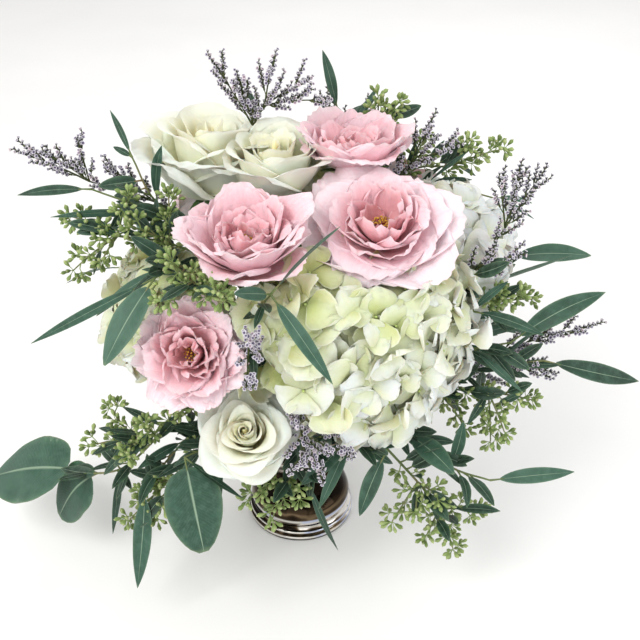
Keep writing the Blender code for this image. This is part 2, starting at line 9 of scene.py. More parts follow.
import bpy
import numpy as np
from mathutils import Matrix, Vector


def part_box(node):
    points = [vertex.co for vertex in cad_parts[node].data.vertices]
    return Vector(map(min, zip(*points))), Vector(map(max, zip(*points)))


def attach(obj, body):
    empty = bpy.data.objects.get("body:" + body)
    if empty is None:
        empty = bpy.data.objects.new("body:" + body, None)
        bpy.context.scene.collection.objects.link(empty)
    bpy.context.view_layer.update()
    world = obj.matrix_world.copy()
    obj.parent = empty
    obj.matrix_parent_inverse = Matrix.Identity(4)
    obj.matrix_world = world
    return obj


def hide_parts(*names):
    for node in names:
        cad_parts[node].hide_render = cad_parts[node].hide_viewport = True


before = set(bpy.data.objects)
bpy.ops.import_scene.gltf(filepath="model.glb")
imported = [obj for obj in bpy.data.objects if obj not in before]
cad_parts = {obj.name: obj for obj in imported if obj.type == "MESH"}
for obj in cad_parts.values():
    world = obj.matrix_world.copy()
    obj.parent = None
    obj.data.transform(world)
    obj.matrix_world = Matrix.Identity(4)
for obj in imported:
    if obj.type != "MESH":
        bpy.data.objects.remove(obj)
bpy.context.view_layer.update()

# ---- places, as the construction has them ---------------------------------------------
_, foam_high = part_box("floral_foam")
bowl_low, bowl_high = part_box("compote_bowl")
FOAM_TOP = foam_high.z
FOAM_RADIUS = 0.068
FOAM_SHOULDER = 0.17
STEM_FOCUS = np.array((0.0, 0.0, 0.125))
STEM_DEPTH = 0.028
STEM_LEAD = 0.01
ROSE_STEM = 0.0026
HYDRANGEA_STEM = 0.0035
SPRIG_STEM = 0.0014
LEAF_FACE = np.array((0.0, -0.5, 0.86))
LEAF_TURN = 0.098           # behind here leaves look backwards instead
LEAF_ARCH = 0.06
GOLDEN_ANGLE = math.radians(137.508)
FULL_TURN = 6.28            # random angles run up to this

# name: petal, style, middle of the head, direction it opens, radius of the bloom, depth,
#       socket azimuth and radius, turn of the bloom about its axis
ROSES = {
    "pink_rose_left": ("pink_petal", "cupped", (-36, -77, 360), (-0.06, -0.14, 1), 49, 48, -35, 30, 200),
    "pink_rose_large": ("pink_petal", "open", (68, -57, 362), (-0.04, -0.36, 0.93), 65, 44, 50, 28, 40),
    "pink_rose_top": ("pink_petal", "cupped", (48, 35, 384), (0.03, 0.04, 1), 50, 40, 90, 14, 110),
    "pink_rose_low": ("pink_petal", "quartered", (-80, -118, 281), (-0.12, -0.8, 0.58), 46, 40, -42, 52, 0),
    "pink_rose_back_left": ("pink_petal", "open", (-80, 118, 290),
        (-0.45, 0.78, 0.4), 54, 42, -145, 50, 70),
    "pink_rose_back_right": ("pink_petal", "cupped", (85, 112, 300),
        (0.5, 0.7, 0.48), 52, 42, 150, 36, 160),
    "white_rose_top_left": ("ivory_petal", "unfurled", (-74, 44, 368),
        (0.12, 0.04, 0.98), 57, 66, -125, 27, 15),
    "white_rose_top": ("ivory_petal", "goblet", (-18, 16, 376), (0.05, -0.06, 0.98), 39, 54, 0, 14, 250),
    "white_rose_front": ("ivory_petal", "spiral", (-40, -127, 206),
        (0, -0.64, 0.77), 41.5, 50, -19, 61, 30),
    "white_rose_back": ("ivory_petal", "unfurled", (10, 138, 262),
        (0.05, 0.88, 0.46), 48, 44, 180, 56, 100),
    "white_rose_back_low": ("ivory_petal", "spiral", (-118, 70, 215),
        (-0.72, 0.52, 0.45), 43, 44, -120, 60, 300),
}

# name: middle of the head, direction it faces, radius of the bloom, depth, socket azimuth
#       and radius, florets, length of a sepal, how green it still is, how much wider than high
HYDRANGEAS = {
    "hydrangea_front": ((63, -101, 267), (0.45, -0.88, 0.12), 104, 62, 27, 50, 164, 25.2, 0.27, 1.16),
    "hydrangea_right": ((144, 18, 304), (0.76, -0.1, 0.65), 72, 56, 98, 32, 48, 27, -0.22, 1),
    "hydrangea_left": ((-128, -30, 254), (-0.98, -0.2, 0.06), 70, 56, -78, 50, 58, 24, 0.14, 1),
    "hydrangea_top": ((0, 86, 336), (0, 0.7, 0.71), 55, 50, 175, 26, 44, 22, 0.22, 1),
    "hydrangea_back_low": ((104, 86, 203), (0.7, 0.66, 0.26), 62, 52, 128, 60, 50, 23, 0.26, 1),
}

# name: socket azimuth and radius, points that the stem passes, then its leaves or sprays
#       as (index of the point it leaves, the three coordinates of its tip, width)
SPRIGS = {
    "eucalyptus_top": (138, 26, ((47, 86, 325), (46, 94, 366), (36, 86, 392)), ((2, 22, 74, 452, 16),
        (1, 72, 104, 410, 10))),
    "eucalyptus_right_high": (84, 60, ((120, 22, 222), (174, 40, 242), (192, 44, 269)), (
        (2, 263, 30, 279, 26), (1, 237, -2, 299, 4))),
    "eucalyptus_right_front": (72, 46, ((110, -38, 252), (145, -56, 278)), ((1, 202, -80, 270, 15),
        (1, 174, -48, 302, 10))),
    "eucalyptus_right_mid": (66, 62, ((115, -32, 215), (152, -46, 232), (182, -50, 241)), (
        (2, 258, -40, 286, 27), (1, 190, -85, 215, 13))),
    "eucalyptus_right_low": (79, 66, ((120, -30, 188), (170, -46, 212), (213, -50, 222)), (
        (2, 305, -36, 188, 27), (1, 225, -15, 240, 8))),
    "eucalyptus_low_right": (50, 67, ((96, -82, 166), (132, -106, 150), (166, -112, 140)), (
        (2, 237, -112, 150, 20), (0, 130, -138, 172, 25), (1, 140, -100, 196, 15))),
    "eucalyptus_low_front": (25, 67, ((46, -98, 176), (74, -120, 178)), ((1, 53, -146, 132, 20),
        (0, 4, -126, 148, 20), (0, 19, -136, 130, 16))),
    "eucalyptus_over_foot": (8, 67, ((12, -96, 164), (10, -112, 138)), ((1, 36, -128, 70, 12),
        (0, -12, -118, 128, 12))),
    "eucalyptus_round_left": (-72, 67, ((-100, -55, 172), (-142, -75, 134), (-160, -75, 118),
        (-183, -70, 108), (-203, -62, 105)), ((4, -300, -20, 56, 70), (3, -229, -62, 44, 52),
        (2, -172, -92, 52, 9))),
    "eucalyptus_low_left": (-34, 67, ((-66, -96, 172), (-92, -124, 178)), ((1, -77, -162, 106, 48),
        (1, -44, -140, 146, 10), (0, -66, -136, 124, 10))),
    "eucalyptus_hanging_left": (-52, 67, ((-98, -84, 160), (-130, -116, 136)), ((1, -141, -150, 46, 26),
        (0, -134, -120, 160, 10))),
    "eucalyptus_left_mid": (-62, 34, ((-72, -52, 300), (-92, -72, 332), (-106, -94, 334)), (
        (2, -142, -140, 286, 30), (1, -152, -104, 306, 14), (2, -208, -100, 277, 10),
        (1, -124, -77, 361, 16))),
    "eucalyptus_left_high": (-88, 32, ((-80, -16, 318), (-112, -14, 345), (-168, 0, 361)), (
        (2, -237, 20, 345, 8), (1, -160, 10, 332, 14), (1, -200, -20, 346, 5))),
    "eucalyptus_top_left": (-104, 43, ((-70, 8, 300), (-116, 4, 346), (-134, 12, 384)), (
        (2, -153, 38, 414, 8), (1, -106, -4, 402, 15), (2, -151, 24, 388, 8))),
    "eucalyptus_over_front": (-8, 36, ((-16, -66, 275), (-24, -104, 314), (-16, -128, 342)), (
        (2, 29, -180, 300, 18), (2, 34, -134, 402, 9), (2, -40, -152, 358, 15))),
    "eucalyptus_top_right": (117, 40, ((78, 58, 297), (115, 62, 335), (176, 58, 322)), (
        (2, 210, 56, 318, 8), (1, 146, 50, 370, 8), (2, 211, 45, 308, 8))),
    "eucalyptus_back_left": (-130, 67, ((-110, 110, 190), (-155, 135, 200), (-185, 145, 195)), (
        (2, -252, 160, 165, 24), (1, -190, 100, 160, 20), (1, -170, 155, 255, 16))),
    "eucalyptus_back": (-163, 46, ((-36, 100, 290), (-50, 130, 330), (-60, 150, 345)), (
        (2, -80, 180, 310, 20), (1, -20, 164, 340, 14))),
    "eucalyptus_back_right": (110, 67, ((130, 60, 158), (175, 85, 150), (200, 95, 150)), (
        (2, 262, 125, 130, 22), (1, 215, 55, 185, 18))),
    "eucalyptus_back_low": (168, 67, ((24, 108, 170), (34, 135, 160)), ((1, 48, 180, 95, 36),
        (0, -10, 150, 130, 20), (1, 75, 180, 160, 18))),
    "seeded_left_high": (-76, 38, ((-66, -30, 300), (-102, -32, 328), (-145, -30, 334)), (
        (2, -190, -6, 340, 20), (2, -132, -22, 370, 16), (2, -184, -46, 308, 20), (2, -156, -52, 322, 18),
        (1, -101, -22, 370, 16), (1, -132, -44, 352, 18))),
    "seeded_left_mid": (-50, 40, ((-60, -70, 310), (-72, -104, 333)), ((1, -100, -118, 328, 20),
        (1, -48, -142, 346, 20), (1, -96, -96, 354, 16))),
    "seeded_low_left": (-63, 64, ((-92, -68, 182), (-122, -92, 176), (-140, -92, 168)), (
        (2, -184, -86, 156, 22), (2, -160, -82, 198, 20), (1, -124, -116, 206, 20),
        (2, -140, -124, 178, 18), (0, -104, -100, 212, 16))),
    "seeded_hanging_left": (-43, 67, ((-84, -92, 158), (-108, -106, 136)), ((1, -152, -116, 90, 20),
        (1, -122, -128, 106, 20), (1, -138, -110, 124, 16))),
    "seeded_over_foot": (-4, 67, ((-4, -94, 164), (-8, -112, 146)), ((1, -44, -132, 134, 18),
        (1, -22, -136, 112, 20), (1, 4, -134, 138, 14))),
    "seeded_low_right": (38, 67, ((72, -94, 168), (104, -112, 138), (124, -118, 112)), (
        (2, 140, -124, 62, 22), (1, 80, -132, 106, 22), (2, 164, -114, 106, 18), (1, 101, -136, 124, 18),
        (1, 128, -132, 134, 18), (2, 112, -130, 88, 16))),
    "seeded_right": (72, 66, ((125, -48, 190), (165, -66, 200)), ((1, 206, -68, 192, 22),
        (1, 180, -90, 170, 20), (0, 150, -74, 160, 18), (1, 170, -80, 150, 18))),
    "seeded_right_high": (84, 44, ((120, -20, 232), (155, -24, 262)), ((1, 206, -20, 266, 20),
        (1, 170, -46, 288, 18), (1, 192, -36, 282, 16))),
    "seeded_top": (148, 14, ((60, 86, 340), (72, 92, 376)), ((1, 70, 82, 410, 16), (1, 90, 82, 404, 14))),
    "seeded_top_right": (131, 42, ((90, 78, 325), (140, 76, 346)), ((1, 184, 64, 368, 24),
        (1, 152, 70, 374, 14), (0, 118, 96, 366, 16))),
    "seeded_back_left": (-140, 66, ((-80, 98, 190), (-106, 140, 200)), ((1, -130, 176, 172, 22),
        (1, -90, 182, 200, 20))),
    "seeded_back_right": (146, 66, ((60, 98, 170), (90, 130, 150)), ((1, 118, 164, 120, 22),
        (1, 80, 160, 110, 20))),
    "limonium_top": (-145, 14, ((-35, 47, 335), (-36, 56, 390), (-26, 48, 414)), ((1, -70, 44, 458, 12),
        (2, -20, 42, 446, 14), (2, 12, 50, 436, 14), (2, 28, 44, 420, 12), (1, -48, 44, 444, 10))),
    "limonium_left": (-119, 43, ((-88, 48, 290), (-126, 38, 330), (-175, 24, 356)), (
        (2, -234, 24, 384, 12), (2, -179, 22, 396, 10), (2, -209, 20, 386, 10), (1, -158, 14, 376, 12))),
    "limonium_top_right": (74, 25, ((59, 28, 320), (98, 46, 362)), ((1, 112, 58, 390, 14),
        (1, 140, 52, 376, 12))),
    "limonium_right": (78, 54, ((104, -28, 258), (142, -46, 306), (172, -20, 336)), (
        (2, 209, 20, 370, 12), (2, 187, 18, 376, 10), (2, 166, 0, 372, 12), (1, 186, -40, 322, 12))),
    "limonium_right_low": (90, 66, ((126, -6, 192), (176, -18, 206)), ((1, 264, -30, 246, 12),
        (1, 232, -30, 190, 12), (0, 190, -20, 170, 12), (1, 210, -52, 206, 12))),
    "limonium_front": (-26, 44, ((-30, -80, 262), (-34, -126, 292)), ((1, -26, -160, 326, 12),
        (1, -34, -160, 280, 12))),
    "limonium_low_front": (3, 60, ((-2, -92, 196), (6, -126, 204)), ((1, 4, -144, 184, 12),
        (1, 2, -144, 236, 12), (1, 22, -146, 184, 12), (1, 46, -146, 196, 12))),
    "limonium_back": (160, 46, ((40, 110, 300), (44, 140, 335)), ((1, 20, 165, 375, 14),
        (1, 70, 165, 360, 14))),
}

# How a bloom's petals change from its middle (0) to its outside (1).  Radii, heights and
# half widths are shares of the bloom's radius and depth; angles are from the horizontal.
STAGES = (0.0, 0.25, 0.5, 0.75, 1.0)
STYLES = {
    "cupped": dict(
        rings=((5, 0.05), (6, 0.22), (6, 0.4), (5, 0.57), (6, 0.74), (5, 0.98)),
        tip_radius=(0.14, 0.34, 0.62, 0.9, 1.08),
        tip_height=(0.62, 0.72, 0.88, 1.0, 0.66), base_angle=(72, 46, 22, 8, -4),
        tip_angle=(98, 90, 84, 72, 26), lip=(0, 14, 26, 40, 32), lip_start=0.66,
        half_width=(0.26, 0.38, 0.56, 0.78, 0.76), ruffle=(0.04, 0.044, 0.042, 0.038, 0.04),
        roll=(0.0, 0.0, 0.1, 0.2, 0.3), disorder=0.75, wrap=0.0, tuck=0.03, stamens=30, fade=0.84),
    "open": dict(
        rings=((4, 0.04), (5, 0.2), (4, 0.38), (4, 0.57), (5, 0.76), (6, 0.98)),
        tip_radius=(0.18, 0.34, 0.52, 0.8, 1.0),
        tip_height=(0.8, 0.94, 0.84, 0.62, 0.42), base_angle=(64, 46, 24, 8, -6),
        tip_angle=(106, 96, 64, 30, 14), lip=(8, 18, 26, 28, 34), lip_start=0.62,
        half_width=(0.2, 0.34, 0.54, 0.8, 0.8), ruffle=(0.034, 0.038, 0.038, 0.036, 0.04),
        roll=(0.0, 0.1, 0.1, 0.2, 0.2), disorder=0.6, wrap=0.0, tuck=0.03, stamens=90, fade=1.08),
    "quartered": dict(
        rings=((4, 0.08), (5, 0.25), (6, 0.43), (6, 0.61), (7, 0.8), (7, 0.98)),
        tip_radius=(0.15, 0.35, 0.6, 0.83, 1.02),
        tip_height=(0.84, 0.92, 0.9, 0.76, 0.5), base_angle=(72, 50, 28, 10, -6),
        tip_angle=(98, 84, 66, 46, 24), lip=(8, 20, 32, 40, 48), lip_start=0.6,
        half_width=(0.24, 0.36, 0.48, 0.58, 0.62), ruffle=(0.044, 0.048, 0.046, 0.042, 0.042),
        roll=(0.0, 0.0, 0.1, 0.2, 0.3), disorder=0.95, wrap=0.0, tuck=0.03, stamens=24, fade=0.92),
    "unfurled": dict(
        rings=((2, 0.03), (2, 0.13), (3, 0.26), (3, 0.42), (3, 0.6), (4, 0.8), (4, 0.98)),
        tip_radius=(0.07, 0.28, 0.56, 0.86, 1.04),
        tip_height=(0.98, 1.02, 1.04, 1.02, 0.84), base_angle=(84, 68, 46, 18, 0),
        tip_angle=(100, 94, 86, 78, 62), lip=(16, 46, 70, 88, 96), lip_start=0.74,
        half_width=(0.26, 0.56, 0.94, 1.22, 1.24), ruffle=(0.0, 0.006, 0.012, 0.016, 0.018),
        roll=(0.0, 0.3, 0.5, 0.6, 0.6), disorder=0.34, wrap=0.6, tuck=0.05, stamens=0, fade=1.0),
    "goblet": dict(
        rings=((2, 0.04), (3, 0.16), (3, 0.34), (3, 0.56), (3, 0.78), (3, 0.98)),
        tip_radius=(0.1, 0.34, 0.62, 0.88, 1.06),
        tip_height=(0.86, 0.92, 0.98, 1.0, 0.88), base_angle=(82, 66, 44, 20, 6),
        tip_angle=(98, 94, 90, 86, 76), lip=(12, 30, 44, 66, 92), lip_start=0.78,
        half_width=(0.28, 0.62, 1.0, 1.34, 1.46), ruffle=(0.014, 0.02, 0.018, 0.014, 0.014),
        roll=(0.0, 0.1, 0.2, 0.3, 0.4), disorder=0.2, wrap=0.8, tuck=0.05, stamens=0, fade=0.92),
    "spiral": dict(
        rings=((2, 0.03), (2, 0.12), (3, 0.24), (3, 0.38), (3, 0.56), (4, 0.76), (5, 0.98)),
        tip_radius=(0.04, 0.17, 0.36, 0.68, 1.0),
        tip_height=(1.0, 1.02, 0.98, 0.84, 0.54), base_angle=(84, 72, 52, 24, 0),
        tip_angle=(102, 98, 86, 64, 34), lip=(14, 44, 60, 66, 68), lip_start=0.7,
        half_width=(0.26, 0.46, 0.62, 0.84, 0.94), ruffle=(0.0, 0.004, 0.008, 0.009, 0.01),
        roll=(0.0, 0.2, 0.5, 0.7, 0.9), disorder=0.12, wrap=1.0, tuck=0.06, stamens=0, fade=1.2),
}


# ---- small vector helpers -------------------------------------------------------------
def metres(*values):
    """Numbers, points or lists of points in millimetres, in metres."""
    return [np.array(value) / 1000.0 for value in values]


def unit(vector):
    return vector / np.linalg.norm(vector)


def units(rows):
    """Vectors in rows, each brought to length 1."""
    return rows / np.linalg.norm(rows, axis=1, keepdims=True)


def smoothstep(low, high, value):
    t = np.clip((value - low) / (high - low), 0.0, 1.0)
    return t * t * (3.0 - 2.0 * t)


def spoke(angle):
    """Unit vector in the plane of the first two axes."""
    return np.array((math.cos(angle), math.sin(angle), 0.0))


def spun(x, y, z, angle):
    """Grid of points, turned about the third axis."""
    c, s = math.cos(angle), math.sin(angle)
    return np.stack((x * c - y * s, x * s + y * c, z), axis=-1)


def facing_frame(direction, turn=0.0):
    """Rotation whose third axis is the direction, turned about it by an angle in radians."""
    axis = unit(np.asarray(direction, float))
    hint = np.array((0.0, 1.0, 0.0)) if abs(axis[1]) < 0.95 else np.array((0.0, 0.0, 1.0))
    first = unit(np.cross(hint, axis))
    second = np.cross(axis, first)
    c, s = math.cos(turn), math.sin(turn)
    return np.column_stack((first * c + second * s, second * c - first * s, axis))


def on_circle(azimuth, radius, height):
    angle = math.radians(azimuth)
    return np.array((radius * math.sin(angle), -radius * math.cos(angle), height))


def foam_surface(radius):
    return FOAM_TOP - (FOAM_TOP - FOAM_SHOULDER) * min(radius / FOAM_RADIUS, 1.0) ** 2


def stem_line(azimuth, radius):
    """Cut end of a stem, the point where it leaves the foam, and its direction."""
    entry = on_circle(azimuth, radius, foam_surface(radius))
    direction = unit(entry - STEM_FOCUS)
    return entry - direction * STEM_DEPTH, entry, direction


def catmull_rom(points, steps):
    """Smooth curve through the points, with some steps between each pair."""
    points = [np.asarray(p, float) for p in points]
    padded = [points[0] * 2 - points[1]] + points + [points[-1] * 2 - points[-2]]
    route = []
    for k in range(1, len(padded) - 2):
        a, b, c, d = padded[k - 1:k + 3]
        for t in np.arange(steps) / steps:
            route.append(0.5 * (b * 2 + (c - a) * t + (a * 2 - b * 5 + c * 4 - d) * t * t
                                + (b * 3 - a - c * 3 + d) * t ** 3))
    route.append(points[-1])
    return np.array(route)


# ---- mesh of one piece ----------------------------------------------------------------
class Piece:
    """Gathers the points and faces of one piece, with two vectors at each point.

    "form" says where a point lies on its petal or leaf: along it, across it, and its
    distance from the edge.  "tint" says how far out its petal grows, a random number of
    the petal, and the side: 0 on the inner or upper face, 1 on the other.
    """

    def __init__(self):
        self.shells = []

    def add(self, points, faces, form, tint, finish=0):
        """Add points, lists of faces on them, their two vectors and the number of their material."""
        shape = (len(points), 3)
        self.shells.append((points, faces, np.broadcast_to(form, shape),
                            np.broadcast_to(tint, shape), finish))

    def build(self, name, materials, node, sharp_angle=60.0):
        """Make the object, and let it stand for its CAD node."""
        corners, sizes, finishes = [], [], []
        first = 0
        for shell, faces, _, _, finish in self.shells:
            for block in faces:
                corners.append((block + first).ravel())
                sizes.append(np.full(len(block), block.shape[1]))
                finishes.append(np.full(len(block), finish))
            first += len(shell)
        corners, sizes, finishes = (np.concatenate(values).astype(np.int32)
                                    for values in (corners, sizes, finishes))
        points, _, form, tint, _ = zip(*self.shells)
        points = np.concatenate(points)
        mesh = bpy.data.meshes.new(name)
        mesh.vertices.add(len(points))
        mesh.vertices.foreach_set("co", points.astype(np.float32).ravel())
        mesh.loops.add(len(corners))
        mesh.loops.foreach_set("vertex_index", corners)
        mesh.polygons.add(len(sizes))
        starts = np.concatenate(([0], np.cumsum(sizes)[:-1]))
        mesh.polygons.foreach_set("loop_start", starts.astype(np.int32))
        for material in materials:
            mesh.materials.append(MATERIALS[material])
        mesh.polygons.foreach_set("material_index", finishes)
        mesh.update(calc_edges=True)
        for label, values in (("form", form), ("tint", tint)):
            layer = mesh.attributes.new(label, "FLOAT_VECTOR", "POINT")
            layer.data.foreach_set("vector", np.concatenate(values).astype(np.float32).ravel())
        mesh.shade_smooth()
        mesh.set_sharp_from_angle(angle=math.radians(sharp_angle))
        thing = bpy.data.objects.new(name, mesh)
        bpy.context.scene.collection.objects.link(thing)
        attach(thing, "root")
        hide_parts(node)


def grid_faces(index):
    """Faces of a grid of point numbers."""
    return np.stack((index[:-1, :-1], index[1:, :-1], index[1:, 1:], index[:-1, 1:]),
                    axis=-1).reshape(-1, 4)


def add_shell(piece, grid, thickness, u, v, tint, finish=0):
    """Closed thin sheet on a grid of points; its two sides share the grid's edge.

    On it u goes from 0 to 1 along the sheet, and v from -1 to 1 across it.

    The upper or inner side is the one that du x dv points to.
    """
    rows, cols = grid.shape[:2]
    normal = np.cross(np.gradient(grid, axis=0), np.gradient(grid, axis=1))
    normal /= np.maximum(np.linalg.norm(normal, axis=2, keepdims=True), 1e-12)
    offset = normal * (thickness * 0.5)
    offset[0, :] = offset[-1, :] = 0.0
    offset[:, 0] = offset[:, -1] = 0.0
    upper = np.arange(rows * cols).reshape(rows, cols)
    lower = upper.copy()
    lower[1:-1, 1:-1] = rows * cols + np.arange((rows - 2) * (cols - 2)).reshape(rows - 2, cols - 2)
    points = np.concatenate(((grid + offset).reshape(-1, 3),
                             (grid - offset)[1:-1, 1:-1].reshape(-1, 3)))
    form = np.stack((u, 0.5 + 0.5 * v, np.minimum(1.0 - np.abs(v), 1.0 - u)), axis=-1)
    form = np.concatenate((form.reshape(-1, 3), form[1:-1, 1:-1].reshape(-1, 3)))
    side = np.zeros((rows, cols))
    side[0, :] = side[-1, :] = 0.5
    side[:, 0] = side[:, -1] = 0.5
    shade = np.empty((len(points), 3))
    shade[:, 0], shade[:, 1] = tint
    shade[:, 2] = np.concatenate((side.ravel(), np.ones((rows - 2) * (cols - 2))))
    piece.add(points, [grid_faces(upper), grid_faces(lower)[:, ::-1]], form, shade, finish)


def add_tube(piece, route, radii, sides, tint=(0.0, 0.0), finish=0, reach=1.0):
    """Closed tube along a route, with a flat cap at each end; form goes from 0 to the reach."""
    route = np.asarray(route, float)
    radii = np.broadcast_to(radii, (len(route),))
    travel = units(np.gradient(route, axis=0))
    hint = np.array((0.31, 0.17, 0.93)) if abs(travel[0, 2]) < 0.9 else np.array((1.0, 0.2, 0.1))
    across = units(np.cross(travel, hint))
    other = np.cross(travel, across)
    angle = 2.0 * math.pi * np.arange(sides) / sides
    ring = (across[:, None] * np.cos(angle)[None, :, None]
            + other[:, None] * np.sin(angle)[None, :, None])
    points = (route[:, None] + ring * radii[:, None, None]).reshape(-1, 3)
    index = np.arange(len(route) * sides).reshape(len(route), sides)
    closed = np.column_stack((index, index[:, 0]))
    share = np.repeat(np.linspace(0.0, reach, len(route)), sides)
    form = np.column_stack((share, np.tile(np.arange(sides) / sides, len(route)),
                            np.ones(len(points))))
    faces = [grid_faces(closed), index[:1, ::-1], index[-1:]]
    piece.add(points, faces, form, (*tint, 0.0), finish)


def add_turned(piece, profile, sides, tint=(0.0, 0.0), finish=0, lobes=0, depth=0.0):
    """Solid of revolution about Z, closed by flat ends; the profile runs with the inside left."""
    angle = 2.0 * math.pi * np.arange(sides) / sides
    profile = np.asarray(profile)
    wide = profile[:, :1] * (1.0 + depth * np.cos(lobes * angle))
    points = np.stack((wide * np.cos(angle), wide * np.sin(angle),
                       np.broadcast_to(profile[:, 1:], wide.shape)), axis=-1).reshape(-1, 3)
    index = np.arange(len(points)).reshape(len(profile), sides)
    closed = np.column_stack((index, index[:, 0]))
    form = np.ones((len(points), 3))
    form[:, 0] = np.repeat(np.linspace(0.0, 1.0, len(profile)), sides)
    form[:, 1] = np.tile(angle / (2.0 * math.pi), len(profile))
    faces = [grid_faces(closed)[:, ::-1], index[:1, ::-1], index[-1:]]
    piece.add(points, faces, form, (*tint, 0.0), finish)


def turned_template(profile, sides, lobes=0, depth=0.0):
    template = Piece()
    add_turned(template, profile, sides, lobes=lobes, depth=depth)
    return template


def stamp(piece, template, origin, rotation, size, tint, finish=0):
    """Copy of a small piece at a place, with its own size and tint."""
    for points, faces, form, shade, step in template.shells:
        shade = np.array(shade)
        shade[:, 0], shade[:, 1] = tint
        piece.add(points * size @ rotation.T + origin, faces, form, shade, finish + step)


# ---- materials ------------------------------------------------------------------------
class Finish:
    """A Principled material, with short calls that add nodes to it."""

    def __init__(self, name, **constants):
        self.material = bpy.data.materials.new(name + "_look")
        self.material.use_nodes = True
        self.nodes = self.material.node_tree.nodes
        self.links = self.material.node_tree.links
        self.shader = self.nodes["Principled BSDF"]
        self.place = self.nodes.new("ShaderNodeTexCoord").outputs["Object"]
        for label, value in constants.items():
            self.shader.inputs[label.replace("_", " ")].default_value = value

    def feed(self, socket, source):
        if hasattr(source, "links"):
            self.links.new(source, socket)
        elif isinstance(source, tuple) and socket.type == "RGBA":
            socket.default_value = (*source, 1.0)
        else:
            socket.default_value = source

    def set(self, label, source):
        self.feed(self.shader.inputs[label], source)

    def node(self, kind, sources=(), **settings):
        """New node with its settings, and sources for its first sockets."""
        node = self.nodes.new("ShaderNode" + kind)
        for label, value in settings.items():
            setattr(node, label, value)
        for socket, source in zip(node.inputs, sources):
            self.feed(socket, source)
        return node

    def parts(self, vector):
        return tuple(self.node("SeparateXYZ", (vector,)).outputs)

    def attribute(self, name):
        return self.parts(self.node("Attribute", attribute_name=name).outputs["Vector"])

    def vector(self, x, y, z):
        return self.node("CombineXYZ", (x, y, z)).outputs[0]

    def math(self, operation, *sources):
        return self.node("Math", sources, operation=operation).outputs[0]

    def mul(self, a, b):
        return self.math("MULTIPLY", a, b)

    def mad(self, a, b, c):
        """a * b + c"""
        return self.math("MULTIPLY_ADD", a, b, c)

    def span(self, value, low, high, start=0.0, end=1.0):
        """Smooth change from start to end while the value goes from low to high."""
        return self.node("MapRange", (value, low, high, start, end),
                         interpolation_type="SMOOTHSTEP").outputs[0]

    def away(self, value, centre):
        return self.math("ABSOLUTE", self.math("SUBTRACT", value, centre))

    def mix(self, factor, a, b):
        node = self.node("Mix", (factor,), data_type="RGBA")
        self.feed(node.inputs[6], a)
        self.feed(node.inputs[7], b)
        return node.outputs[2]

    def rim(self, body, edge, width, share, colour):
        """Another colour towards the edge of a petal or leaf."""
        return self.mix(self.mul(self.span(edge, width, 0.0), share), body, colour)

    def ramp(self, factor, *stops):
        """Colour ramp; each stop is its place, then red, green and blue."""
        node = self.node("ValToRGB", (factor,))
        elements = node.color_ramp.elements
        while len(elements) < len(stops):
            elements.new(0.5)
        for element, (place, *colour) in zip(elements, stops):
            element.position = place
            element.color = (*colour, 1.0)
        return node.outputs[0]

    def noise(self, scale, detail=2.0, distortion=0.0, vector=None):
        node = self.node("TexNoise", (vector or self.place,))
        node.inputs["Scale"].default_value = scale
        node.inputs["Detail"].default_value = detail
        node.inputs["Distortion"].default_value = distortion
        return node.outputs[0]

    def mottle(self, value, scale, share, detail=3.0):
        """A value, with cloudy changes about it."""
        lower = self.math("SUBTRACT", value, share * 0.5)
        return self.mad(self.noise(scale, detail), share, lower)

    def voronoi(self, scale, feature="F1"):
        node = self.node("TexVoronoi", (self.place,), feature=feature)
        node.inputs["Scale"].default_value = scale
        return node.outputs["Distance"]

    def bump(self, height, distance, strength):
        node = self.node("Bump")
        node.inputs["Distance"].default_value = distance
        node.inputs["Strength"].default_value = strength
        self.feed(node.inputs["Height"], height)
        self.links.new(node.outputs["Normal"], self.shader.inputs["Normal"])


def grained(name, scale, detail, stops, grain=None, **constants):
    """A plain look: a cloudy colour, and a fine grain if it has one."""
    finish = Finish(name, **constants)
    finish.set("Base Color", finish.ramp(finish.noise(scale, detail), *stops))
    if grain:
        finish.bump(finish.noise(*grain), 0.0002, 0.5)
    return finish.material


def start_petal(name, subsurface, reach, vein_count, vein_stretch):
    """A petal's look, places on the petal, its tint and the fan of veins that runs up it."""
    finish = Finish(name, Roughness=0.62, IOR=1.38, Specular_IOR_Level=0.28,
                    Subsurface_Weight=subsurface, Subsurface_Radius=(1.0, 0.55, 0.45),
                    Subsurface_Scale=reach, Sheen_Weight=0.18, Sheen_Roughness=0.45)
    along, across, edge = finish.attribute("form")
    level, chance, side = finish.attribute("tint")
    fan = finish.vector(finish.mul(across, vein_count), finish.mul(along, vein_stretch),
                        finish.mul(chance, 17.0))
    return finish, along, edge, level, side, finish.noise(1.0, 3.0, 0.4, fan)


def crinkled(finish, body, veins, crinkle, share, distance, strength):
    """Ends a petal's look: its colour, and a relief of crinkles and veins."""
    finish.set("Base Color", body)
    finish.bump(finish.mad(finish.noise(*crinkle), share, veins), distance, strength)
    return finish.material


